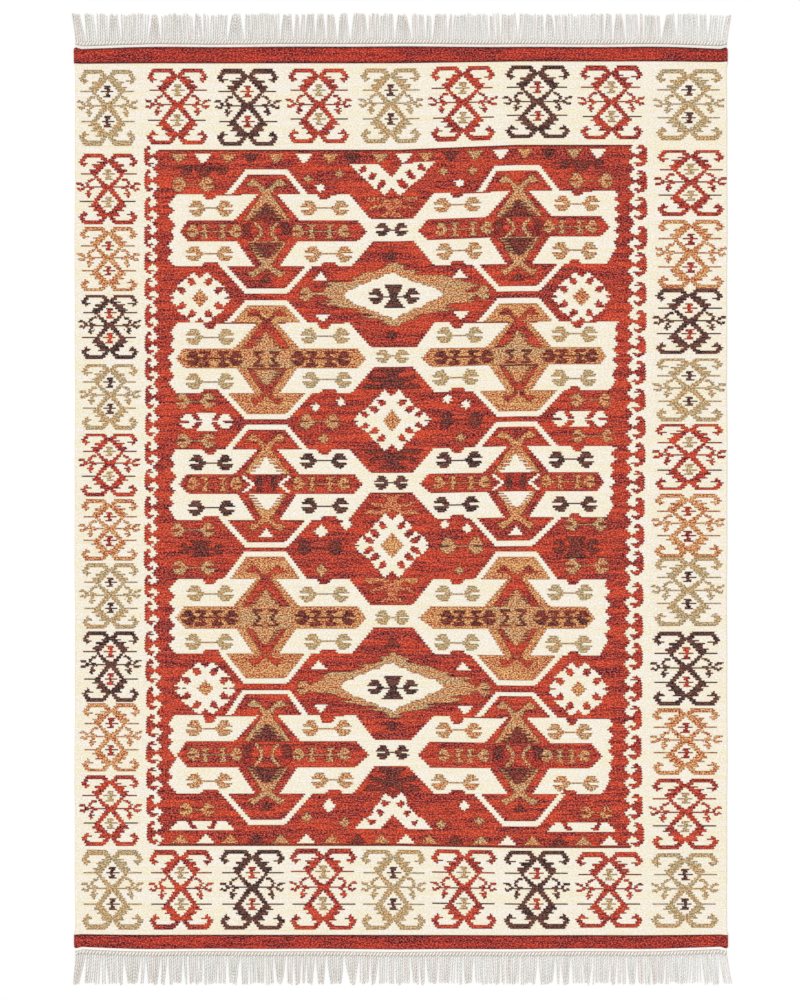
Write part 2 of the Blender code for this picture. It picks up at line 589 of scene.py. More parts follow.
@dataclass(frozen=True)
class CloudBar(Motif):
    """A cream bar with sloping ends, cut from above by two hooks."""

    at: Place
    inset: float = 0.0
    body: ClassVar[Outline] = (
        (0.0, 5.0), (0.0, -4.8), (26.0, -4.8), (27.6, -2.0), (31.6, 0.6), (34.5, 5.0),
    )
    hook: ClassVar[Outline] = (
        (15.0, -5.4), (21.0, -5.4), (17.8, -0.6), (16.0, 3.0), (10.4, 3.0), (9.4, 1.8), (13.6, -1.2),
    )

    def weave(self, chart: Chart) -> None:
        """Draw both mirrored halves.

        Args:
            chart: The chart to draw on.
        """
        for side in self.at.sides():
            chart.fill(side.lay(self.body), Dye.CREAM)
            chart.fill(side.lay([(u - self.inset, v) for u, v in self.hook]), Dye.CRIMSON)


@dataclass(frozen=True)
class Eye(Motif):
    """The long ragged eye between two medallion rows: a tan cloud round a toothed cream lozenge."""

    at: Place
    reach: float
    fray: ClassVar[float] = 22.0
    fray_inward: ClassVar[float] = 0.45
    even_half: ClassVar[float] = 30.0
    cloud: ClassVar[Sequence[Point]] = (
        (-33.5, 4.0), (-31.0, 7.0), (-28.5, 11.0), (-26.0, 14.0), (-24.0, 20.0), (-21.0, 31.0),
        (-18.0, 42.0), (-15.0, 50.0), (-12.0, 60.0), (-9.0, 68.0), (-6.0, 73.0), (-3.0, 76.0),
        (0.0, 77.0), (3.0, 74.0), (6.0, 66.0), (9.0, 58.0), (12.0, 53.0), (15.0, 42.0),
        (18.0, 31.0), (21.0, 23.0), (24.0, 13.0), (27.0, 8.0), (30.0, 5.0),
    )
    lozenge: ClassVar[Outline] = (
        (0.6, -22.4), (5.8, -18.4), (12.8, -17.0), (16.4, -13.8), (25.6, -11.8), (29.0, -9.4),
        (39.9, -7.4), (43.6, -4.2), (48.2, -0.6), (43.0, 2.0), (39.9, 4.2), (31.6, 6.4),
        (27.6, 10.6), (17.6, 12.4), (14.4, 15.4), (7.2, 17.4), (3.6, 19.8), (0.6, 23.2),
        (-3.2, 19.8), (-11.4, 18.6), (-15.4, 15.2), (-23.6, 13.6), (-28.0, 10.4), (-36.6, 8.4),
        (-41.0, 5.0), (-46.2, 2.0), (-48.4, -1.2), (-44.6, -5.4), (-36.8, -7.4), (-33.6, -10.6),
        (-25.0, -12.4), (-21.6, -15.4), (-13.0, -17.0), (-9.6, -20.4),
    )

    def weave(self, chart: Chart) -> None:
        """Draw the streaky cloud row by row, then the lozenge and its figure.

        Args:
            chart: The chart to draw on.
        """
        first, last = (chart.row_at(self.at.y + self.cloud[end][0]) for end in (0, -1))
        for row in range(first, last + 1):
            half = table_value(self.cloud, chart.row_y[row] - self.at.y)
            fray = self.fray * min(1.0, half / self.even_half)
            left = half + fray * (even_noise(row // 2, 3.0) - self.fray_inward)
            right = half * self.reach + fray * (even_noise((row + 1) // 2, 7.0) - self.fray_inward)
            chart.run(row, self.at.x - left, self.at.x + right, Dye.TAN)
        chart.fill(self.at.lay(self.lozenge), Dye.CREAM)
        figure = Hourglass(
            self.at.move(0.0, 0.6), Dye.DARK, Dye.CREAM,
            claw_reach=17.4, half_top=8.6, half_base=10.8, half_height=11.0, waist=3.6,
        )
        figure.weave(chart)


# --------------------------------------------------------------------------- borders


@dataclass(frozen=True)
class RamHorn(Motif):
    """The border motif: two diamonds one above the other, with horns, teeth and a twig each side."""

    at: Place
    dye: Dye
    heart_dye: Dye
    slim: float = 1.0
    twig_reach: float = 1.0
    top_horn: ClassVar[Outline] = (
        (0.0, -29.8), (5.4, -36.5), (25.6, -36.5), (31.4, -28.2), (25.8, -21.8), (24.4, -24.4),
        (20.2, -25.8), (26.6, -27.4), (23.2, -32.3), (8.2, -32.3), (4.4, -27.4), (0.0, -27.6),
    )
    low_horn: ClassVar[Outline] = (
        (0.0, 29.0), (4.8, 30.6), (10.2, 35.8), (22.8, 35.8), (26.0, 31.0), (19.8, 29.9), (23.4, 27.4),
        (25.2, 24.8), (31.3, 31.2), (25.8, 40.0), (7.2, 40.0), (0.0, 31.0),
    )
    upper_side: ClassVar[Outline] = (
        (0.0, -29.4), (4.2, -28.8), (12.4, -27.8), (8.4, -25.6), (17.8, -24.9), (13.4, -20.8), (20.6, -19.2),
        (17.2, -14.4), (5.0, 0.2), (0.0, 0.4), (0.0, -2.6), (13.0, -13.6), (0.0, -27.6),
    )
    lower_side: ClassVar[Outline] = (
        (0.0, -0.2), (5.2, -0.2), (16.8, 15.0), (21.2, 20.8), (14.6, 21.2), (17.2, 25.4), (10.4, 25.9),
        (12.6, 30.8), (6.4, 31.2), (0.0, 30.4), (0.0, 28.0), (11.6, 15.4), (0.0, 2.8),
    )
    up_twig: ClassVar[Outline] = ((15.4, 0.2), (19.6, -1.0), (22.2, -4.8), (19.6, -7.8), (15.6, -9.0))
    down_twig: ClassVar[Outline] = ((18.0, 0.4), (21.2, 4.6), (20.6, 9.6))
    down_leaf: ClassVar[Outline] = ((15.4, 5.2), (23.8, 6.0), (20.8, 10.4), (18.4, 7.6))
    bud_arms: ClassVar[Sequence[Outline]] = (
        ((24.6, -0.2), (27.8, -3.8), (32.2, -4.4)), ((25.0, 0.0), (28.4, 2.6), (31.4, 1.4)),
    )
    heart: ClassVar[Outline] = (
        (-3.9, -5.8), (3.9, -5.8), (1.3, -0.8), (1.6, 1.4), (4.8, 6.0), (-4.8, 6.0), (-1.6, 1.4),
        (-1.3, -0.8),
    )
    heart_levels: ClassVar[Sequence[float]] = (-14.6, 15.4)
    line_near: ClassVar[float] = 14.0
    line_far: ClassVar[float] = 29.6
    twig_end: ClassVar[Point] = (26.0, 0.0)
    twig_width: ClassVar[float] = 2.5
    heart_line: ClassVar[float] = 7.0

    def weave(self, chart: Chart) -> None:
        """Draw both mirrored halves, then the small figure in each diamond.

        Args:
            chart: The chart to draw on.
        """
        low_dye = Dye.DARK if self.dye is Dye.RED else self.dye
        lines = tuple(zip(self.heart_levels, (self.dye, low_dye)))
        for side in self.at.sides():
            core = Place(side.x, side.y, side.wide * self.slim, side.tall)
            branch = Place(side.x, side.y, side.wide * self.twig_reach, side.tall)
            for level, dye in lines:
                near, far = side.lay(((self.line_near * self.slim, level), (self.line_far, level)))
                chart.pick(near[0], far[0], near[1], dye)
            for patch in (self.top_horn, self.low_horn):
                chart.fill(side.lay(patch), self.dye)
            for patch in (self.upper_side, self.lower_side):
                chart.fill(core.lay(patch), self.dye)
            chart.pick(side.x, branch.lay([self.twig_end])[0][0], side.y, self.dye)
            for twig in (self.up_twig, self.down_twig, *self.bud_arms):
                chart.stroke(branch.lay(twig), self.twig_width, self.dye)
            chart.fill(branch.lay(self.down_leaf), self.dye)
        for level in self.heart_levels:
            place = self.at.move(0.0, level)
            reach = self.heart_line * self.at.wide
            chart.fill(place.lay(self.heart), self.heart_dye)
            chart.pick(place.x - reach, place.x + reach, place.y, self.heart_dye)


@dataclass(frozen=True)
class HookRow(Motif):
    """One side of the field: its notched edge and the row of hooks that grip it."""

    side: int
    edge_x: Sequence[Point]
    hook_x: Sequence[Point]
    hook_wide: Sequence[Point]
    middles: Sequence[float]
    charted_pitch: ClassVar[float] = 26.8
    most_stretch: ClassVar[float] = 1.12
    hook_share: ClassVar[float] = 0.96
    notches: ClassVar[Outline] = (
        (-2.4, -13.4), (0.4, -10.2), (3.0, -7.0), (0.2, -4.2), (-2.0, -2.2), (-3.0, 0.0),
        (-0.8, 2.0), (1.8, 3.6), (4.0, 6.0), (1.0, 8.4), (-1.2, 11.2),
    )
    hook: ClassVar[Outline] = (
        (-6.4, -8.6), (-3.2, -9.4), (-3.8, -11.7), (0.6, -12.1), (2.2, -10.9), (3.6, -10.2),
        (5.2, -8.4), (5.8, -3.0), (5.9, 3.0), (5.6, 6.2), (3.4, 8.6), (1.7, 10.4), (-0.6, 11.4),
        (-3.6, 12.2), (-5.6, 9.4), (-9.0, 8.2), (-6.8, 6.9), (-2.4, 7.6), (0.4, 6.0), (-1.0, 4.4),
        (-3.6, 2.8), (-5.8, 1.2), (-10.6, 0.8), (-10.6, -1.0), (-5.8, -1.6), (-3.2, -3.2),
        (-2.0, -5.4), (0.0, -6.2), (0.8, -7.6), (-3.0, -7.6),
    )

    def scale(self, index: int) -> float:
        """Return how tall a hook's cell is, against the charted one."""
        near, far = max(index - 1, 0), min(index + 1, len(self.middles) - 1)
        return (self.middles[far] - self.middles[near]) / ((far - near) * self.charted_pitch)

    def field_edge(self, top: float, bottom: float) -> list[Point]:
        """Return the field's notched edge from its top to its bottom row.

        Args:
            top: The level of the first row.
            bottom: The level of the last row.

        Returns:
            The edge's corners.
        """
        points = []
        for index, middle in enumerate(self.middles):
            tall = self.scale(index)
            for inward, down in self.notches:
                y = middle + down * tall
                if top < y < bottom:
                    edge = float(table_value(self.edge_x, y))
                    points.append((edge - self.side * inward, y))
        return [(points[0][0], top), *points, (points[-1][0], bottom)]

    def weave(self, chart: Chart) -> None:
        """Draw the hooks.

        Args:
            chart: The chart to draw on.
        """
        for index, middle in enumerate(self.middles):
            hook_x = float(table_value(self.hook_x, middle))
            wide = self.side * float(table_value(self.hook_wide, middle))
            tall = self.hook_share * min(self.scale(index), self.most_stretch)
            chart.fill(Place(hook_x, middle, wide, tall).lay(self.hook), Dye.RED)


# --------------------------------------------------------------------------- medallions


class Middle(Enum):
    """What fills the belt across a medallion's lozenge."""

    PATCHES = "tan cross between dark patches"
    LETTERS = "pair of dark zigzags"
    CHEVRONS = "cream chevrons on dark"


class Band(Enum):
    """The row of figures along a bar."""

    BUDS = "buds and crosses"
    CLAWS = "claws and zigzags"


@dataclass(frozen=True)
class MedallionDyes:
    """The dyes of one row of medallions."""

    roof: Dye
    horns: Dye
    frame: Dye
    lining: Dye
    pyramid: Dye
    belt: Dye
    bar: Dye
    figures: Dye
    claws: Dye
    waist: Dye
    keystone: Dye | None
    middle: Middle
    band: Band
    spread: float = 1.0


@dataclass(frozen=True)
class Levels:
    """The chart rows that a row of medallions is built on, from the far end to the near one."""

    roof_top: float
    ring_top: float
    bar_top: float
    bar_bottom: float
    ring_bottom: float
    roof_bottom: float

    @property
    def middle(self) -> float:
        """Return the row halfway across the bars."""
        return (self.bar_top + self.bar_bottom) / 2


Flats = tuple[Point, Point]
Steps = Sequence[float]
Span = tuple[float, float, float, float]
Claws = tuple[float, float, float]
EVEN_FLATS: Flats = ((20.7, 20.7), (20.7, 20.7))
NARROW: Steps = (30.9, 43.4, 61.4, 73.0)
WIDE: Steps = (31.9, 45.4, 63.4, 77.0)


@dataclass(frozen=True)
class Medallion(Motif):
    """One medallion: a lozenge with its belt, horns under a roof above it and another below."""

    x: float
    levels: Levels
    dyes: MedallionDyes
    flats: Flats = EVEN_FLATS
    lean: float = 0.0
    letters_x: float = 0.0
    band: ClassVar[float] = 5.0
    band_foot: ClassVar[float] = 7.0
    band_corner: ClassVar[float] = 2.3
    upper_foot: ClassVar[float] = 42.2
    lower_foot: ClassVar[float] = 45.6
    belt_tall: ClassVar[float] = 21.0
    rows_above: ClassVar[float] = 12.5
    rows_below: ClassVar[float] = 0.9
    horn_up: ClassVar[Outline] = (
        (-21.5, -9.4), (-14.0, -16.6), (-8.4, -12.8), (0.0, -5.2), (0.0, 2.0), (-5.4, -1.4), (-8.6, -7.6),
    )
    red_horn_up: ClassVar[Outline] = (
        (-20.6, -7.0), (-12.8, -14.2), (-8.6, -12.0), (-3.6, -6.0), (0.0, -3.2), (0.0, 2.0), (-4.6, -2.6),
        (-8.6, -7.0),
    )
    horn_down: ClassVar[Outline] = (
        (-19.5, 5.2), (-12.6, 4.2), (-4.0, -2.6), (0.0, -3.0), (0.0, 1.8), (-6.6, 6.6), (-13.4, 11.6),
    )
    red_horn_down: ClassVar[Outline] = (
        (-4.4, -0.4), (-8.0, 4.8), (-16.4, 5.2), (-11.4, 12.4), (-5.4, 7.0), (0.0, 2.6),
    )
    upper_steps: ClassVar[Sequence[float]] = (
        1.6, 4.0, 2.4, 7.6, 4.0, 6.4, 12.2, 7.0, 9.6, 14.6, 10.4, 17.4, 15.0,
    )
    lower_steps: ClassVar[Sequence[float]] = (
        17.0, 12.6, 16.4, 9.8, 14.4, 8.2, 12.2, 6.2, 9.6, 4.4, 6.2, 2.2,
    )

    def fill(self, chart: Chart, points: Outline, dye: Dye) -> None:
        """Weave an outline given as offsets from the middle line, which may lean."""
        middle = self.levels.middle
        chart.fill([(self.x + u + self.lean * (y - middle), y) for u, y in points], dye)

    def roof(self, chart: Chart, base: float, flat: Point, foot: float, ridge: float) -> None:
        """Draw one roof: a cream band round a dyed trapezoid.

        Args:
            chart: The chart to draw on.
            base: The row where the roof meets the ring.
            flat: How far the roof's flat side reaches to the left and to the right.
            foot: Half the width of the roof at its base.
            ridge: The row of the roof's flat side.
        """
        away = 1.0 if ridge > base else -1.0
        low, high = flat
        inner_ridge = ridge - away * self.band
        outer = ((-foot, base), (-low, ridge), (high, ridge), (foot, base))
        inner = (
            (-foot + self.band_foot, base), (-low + self.band_corner, inner_ridge),
            (high - self.band_corner, inner_ridge), (foot - self.band_foot, base),
        )
        self.fill(chart, outer, Dye.CREAM)
        self.fill(chart, inner, self.dyes.roof)

    def belt(self, chart: Chart) -> None:
        """Draw the belt between the lozenge's two triangles.

        Args:
            chart: The chart to draw on.
        """
        top, bottom = self.levels.bar_top, self.levels.bar_bottom
        box = ((-27.0, top), (27.0, top), (26.0, bottom), (-26.0, bottom))
        self.fill(chart, box, self.dyes.belt)
        tall = (bottom - top) / self.belt_tall
        for side in Place(self.x + self.letters_x, self.levels.middle, 1.0, tall).sides():
            if self.dyes.middle is Middle.PATCHES:
                chevron = ((10.8, -8.0), (5.4, -3.0), (5.4, 2.6), (11.4, 8.6))
                patch = (
                    (12.6, -8.6), (19.0, -9.0), (25.0, -5.0), (25.0, 5.0), (18.6, 9.0), (12.4, 8.6),
                    (16.0, 0.4),
                )
                shade = ((15.4, -7.0), (22.4, -7.4), (24.0, -1.0), (20.6, 3.8), (17.6, 1.0))
                chart.stroke(side.lay(chevron), 3.6, self.dyes.lining)
                chart.fill(side.lay(patch), Dye.CRIMSON)
                chart.fill(side.lay(shade), Dye.BROWN)
            elif self.dyes.middle is Middle.LETTERS:
                letter = ((4.0, -7.2), (12.0, -6.8), (5.6, 0.0), (12.4, 7.2), (3.6, 7.6))
                chart.stroke(side.lay(letter), 2.3, Dye.BROWN)
                chart.fill(side.lay(((0.0, 3.0), (3.0, 5.6), (2.4, 9.6), (0.0, 9.6))), Dye.ORANGE)
            else:
                core = ((0.0, -10.5), (10.0, -10.5), (8.0, 0.0), (10.6, 10.5), (0.0, 10.5))
                shade = ((5.4, -8.4), (8.8, -8.4), (10.8, 0.0), (8.4, 8.4), (5.8, 8.4), (3.8, 0.0))
                chart.fill(side.lay(core), Dye.CRIMSON)
                chart.fill(side.lay(shade), Dye.BROWN)
                chart.stroke(side.lay(((22.4, -8.0), (13.4, 0.2), (22.4, 8.4))), 2.9, Dye.CREAM)

    def weave(self, chart: Chart) -> None:
        """Draw the roofs, the lozenge, its stepped pyramids, the belt and the horns.

        Args:
            chart: The chart to draw on.
        """
        levels, dyes = self.levels, self.dyes
        half = levels.middle - levels.ring_top
        top_x, bottom_x = self.x - self.lean * half, self.x + self.lean * half
        self.roof(chart, levels.ring_top, self.flats[0], self.upper_foot, levels.roof_top)
        self.roof(chart, levels.ring_bottom, self.flats[1], self.lower_foot, levels.roof_bottom)
        frame = (
            (-9.2, levels.ring_top), (10.9, levels.ring_top), (34.0, levels.bar_top),
            (30.2, levels.bar_bottom), (12.6, levels.ring_bottom), (-11.6, levels.ring_bottom),
            (-28.8, levels.bar_bottom), (-33.0, levels.bar_top),
        )
        self.fill(chart, frame, dyes.frame)
        upper = (
            (-4.8, levels.ring_top - 1.0), (4.8, levels.ring_top - 1.0),
            (24.4, levels.bar_top), (-23.6, levels.bar_top),
        )
        lower = (
            (-19.0, levels.bar_bottom), (20.4, levels.bar_bottom),
            (3.8, levels.ring_bottom), (-3.6, levels.ring_bottom),
        )
        for side in (upper, lower):
            self.fill(chart, side, dyes.lining)
        for y, steps in (
            (levels.bar_top - self.rows_above * chart.row_height, self.upper_steps),
            (levels.bar_bottom + self.rows_below * chart.row_height, self.lower_steps),
        ):
            chart.steps(self.x, y, [dyes.spread * step for step in steps], dyes.pyramid)
        self.belt(chart)
        red = dyes.horns is Dye.RED
        for side in Place(top_x, levels.ring_top).sides():
            chart.fill(side.lay(self.red_horn_up if red else self.horn_up), dyes.horns)
        for side in Place(bottom_x, levels.ring_bottom).sides():
            chart.fill(side.lay(self.red_horn_down if red else self.horn_down), dyes.horns)
        if dyes.keystone is not None:
            keystone = Place(bottom_x, levels.ring_bottom + 12.6, 0.98, 0.9)
            SmallFigure(keystone, Spot.UP, dyes.keystone).weave(chart)


@dataclass(frozen=True)
class Bar(Motif):
    """A pointed bar that runs through a medallion, with four figures each side of the lozenge."""

    tip_left: float
    left: float
    right: float
    tip_right: float
    x: float
    levels: Levels
    dyes: MedallionDyes
    steps: tuple[Steps, Steps] = (NARROW, WIDE)
    cross_rows: ClassVar[Sequence[float]] = (4.2, 3.2, 1.8, 1.6, 2.6, 2.0, 1.6, 2.0, 3.4, 3.0, 4.6)
    zigzag: ClassVar[Outline] = ((4.4, -6.2), (-3.6, -6.2), (1.6, 0.0), (-3.8, 6.4), (4.8, 6.4))
    zigzag_width: ClassVar[float] = 3.1
    bud_size: ClassVar[Point] = (0.84, 0.86)
    claw_size: ClassVar[Point] = (0.86, 0.98)

    def ground(self, chart: Chart) -> None:
        """Draw the bar itself.

        Args:
            chart: The chart to draw on.
        """
        levels = self.levels
        outline = (
            (self.tip_left, levels.middle), (self.left, levels.bar_top), (self.right, levels.bar_top),
            (self.tip_right, levels.middle), (self.right - 1.6, levels.bar_bottom),
            (self.left + 2.4, levels.bar_bottom),
        )
        chart.fill(outline, self.dyes.bar)

    def weave(self, chart: Chart) -> None:
        """Draw the figures on both sides of the lozenge.

        Args:
            chart: The chart to draw on.
        """
        middle, figures = self.levels.middle, self.dyes.figures
        buds = self.dyes.band is Band.BUDS
        head, (wide, tall) = (Bud, self.bud_size) if buds else (Claw, self.claw_size)
        for side, steps in zip((-1, 1), self.steps):
            places = [self.x + side * step for step in steps]
            chart.pick(places[0], places[3], middle, figures)
            for x, way in ((places[0], side), (places[3], -side)):
                head(Place(x, middle, wide * way, tall), figures, self.dyes.bar).weave(chart)
            for x, way in zip(places[1:3], (-side, side)):
                if buds:
                    top = middle - len(self.cross_rows) // 2 * chart.row_height
                    chart.steps(x, top, self.cross_rows, figures)
                else:
                    chart.stroke(Place(x, middle, way).lay(self.zigzag), self.zigzag_width, figures)


@dataclass(frozen=True)
class MedallionRow(Motif):
    """Two medallions in one cream ring, with their bars, claws and the waist between them."""

    levels: Levels
    dyes: MedallionDyes
    left_x: float
    right_x: float
    left_bar: Span
    right_bar: Span
    left_end: Outline
    right_end: Outline
    upper_claws: Sequence[Claws]
    lower_claws: Sequence[Claws]
    waist_claws: Claws
    notch_depth: float
    notches: Sequence[Point] = ((203.0, 217.0), (317.0, 331.5), (450.0, 464.0), (571.0, 584.0))
    bumps: Sequence[Point] = ((201.0, 220.5), (320.0, 338.0), (449.0, 466.0), (568.0, 581.0))
    left_flats: Flats = EVEN_FLATS
    right_flats: Flats = EVEN_FLATS
    left_steps: tuple[Steps, Steps] = (NARROW, WIDE)
    right_steps: tuple[Steps, Steps] = (WIDE, NARROW)
    right_lean: float = 0.0
    right_letters_x: float = 0.0
    upper_waist: Span = (349.8, 371.2, 412.0, 433.0)
    lower_waist: Span = (351.0, 373.4, 413.4, 435.0)
    claw_size: ClassVar[float] = 1.03
    waist_claw_size: ClassVar[float] = 0.90
    upper_waist_rise: ClassVar[float] = 1.4
    lower_waist_rise: ClassVar[float] = 1.0
    bump_depth: ClassVar[float] = 4.4
    notch_shape: ClassVar[tuple[float, float, float]] = (3.6, 3.8, 0.4)
    bump_shape: ClassVar[tuple[float, float, float]] = (3.2, 2.6, 0.0)

    @staticmethod
    def edge(
        level: float, depth: float, cuts: Sequence[Point], shape: tuple[float, float, float],
        waist: Span, waist_y: float,
    ) -> list[Point]:
        """Return one long edge of the ring.

        Args:
            level: The row of the edge.
            depth: How far its notches go down.
            cuts: Where each notch starts and stops.
            shape: How far a notch's sides slope, and how much lower it stops than it starts.
            waist: The corners of the waist, which lies between the second and the third notch.
            waist_y: The row of the waist's narrow part.

        Returns:
            The edge's corners, from left to right.
        """
        rise, fall, drop = shape
        points = []
        for low, high in cuts:
            points += [(low, level), (low + rise, level + depth)]
            points += [(high - fall, level + depth), (high, level + drop)]
        first, second, third, fourth = waist
        points[8:8] = [(first, level), (second, waist_y), (third, waist_y), (fourth, level)]
        return points

    def ring(self) -> list[Point]:
        """Return the outline of the cream ring round both medallions.

        Returns:
            The ring's corners.
        """
        levels = self.levels
        upper = self.edge(
            levels.ring_top, self.notch_depth, self.notches, self.notch_shape,
            self.upper_waist, levels.bar_top - self.upper_waist_rise,
        )
        lower = self.edge(
            levels.ring_bottom, -self.bump_depth, self.bumps, self.bump_shape,
            self.lower_waist, levels.bar_bottom - self.lower_waist_rise,
        )
        right = [PULL.undo(x, y) for x, y in self.right_end]
        return [*upper, *right, *reversed(lower), *reversed(self.left_end)]

    def weave(self, chart: Chart) -> None:
        """Draw the ring, the bars, the medallions and the claws.

        Args:
            chart: The chart to draw on.
        """
        chart.fill(self.ring(), Dye.CREAM)
        left = Medallion(self.left_x, self.levels, self.dyes, self.left_flats)
        right = Medallion(
            self.right_x, self.levels, self.dyes, self.right_flats, self.right_lean, self.right_letters_x,
        )
        for medallion, ends, steps in (
            (left, self.left_bar, self.left_steps), (right, self.right_bar, self.right_steps),
        ):
            bar = Bar(*ends, medallion.x, self.levels, self.dyes, steps)
            bar.ground(chart)
            medallion.weave(chart)
            bar.weave(chart)
        for left, right, y in (*self.upper_claws, *self.lower_claws):
            claws = Pair(left, right, y, self.dyes.claws, Dye.CREAM, self.claw_size, level=True)
            claws.weave(chart)
        Pair(*self.waist_claws, self.dyes.waist, Dye.CREAM, self.waist_claw_size).weave(chart)


# --------------------------------------------------------------------------- the whole pattern


RED_TAN = MedallionDyes(
    roof=Dye.RED, horns=Dye.TAN, frame=Dye.RED, lining=Dye.TAN, pyramid=Dye.BROWN, belt=Dye.RED,
    bar=Dye.RED, figures=Dye.TAN, claws=Dye.TAN, waist=Dye.DARK, keystone=Dye.BROWN,
    middle=Middle.PATCHES, band=Band.BUDS,
)
OCHRE_RED = MedallionDyes(
    roof=Dye.ORANGE, horns=Dye.RED, frame=Dye.ORANGE, lining=Dye.RED, pyramid=Dye.TAN, belt=Dye.TAN,
    bar=Dye.ORANGE, figures=Dye.BROWN, claws=Dye.KHAKI, waist=Dye.KHAKI, keystone=None,
    middle=Middle.LETTERS, band=Band.CLAWS, spread=0.86,
)
RED_OCHRE = MedallionDyes(
    roof=Dye.RED, horns=Dye.ORANGE, frame=Dye.RED, lining=Dye.ORANGE, pyramid=Dye.CREAM, belt=Dye.RED,
    bar=Dye.RED, figures=Dye.ORANGE, claws=Dye.DARK, waist=Dye.DARK, keystone=Dye.CREAM,
    middle=Middle.CHEVRONS, band=Band.BUDS,
)

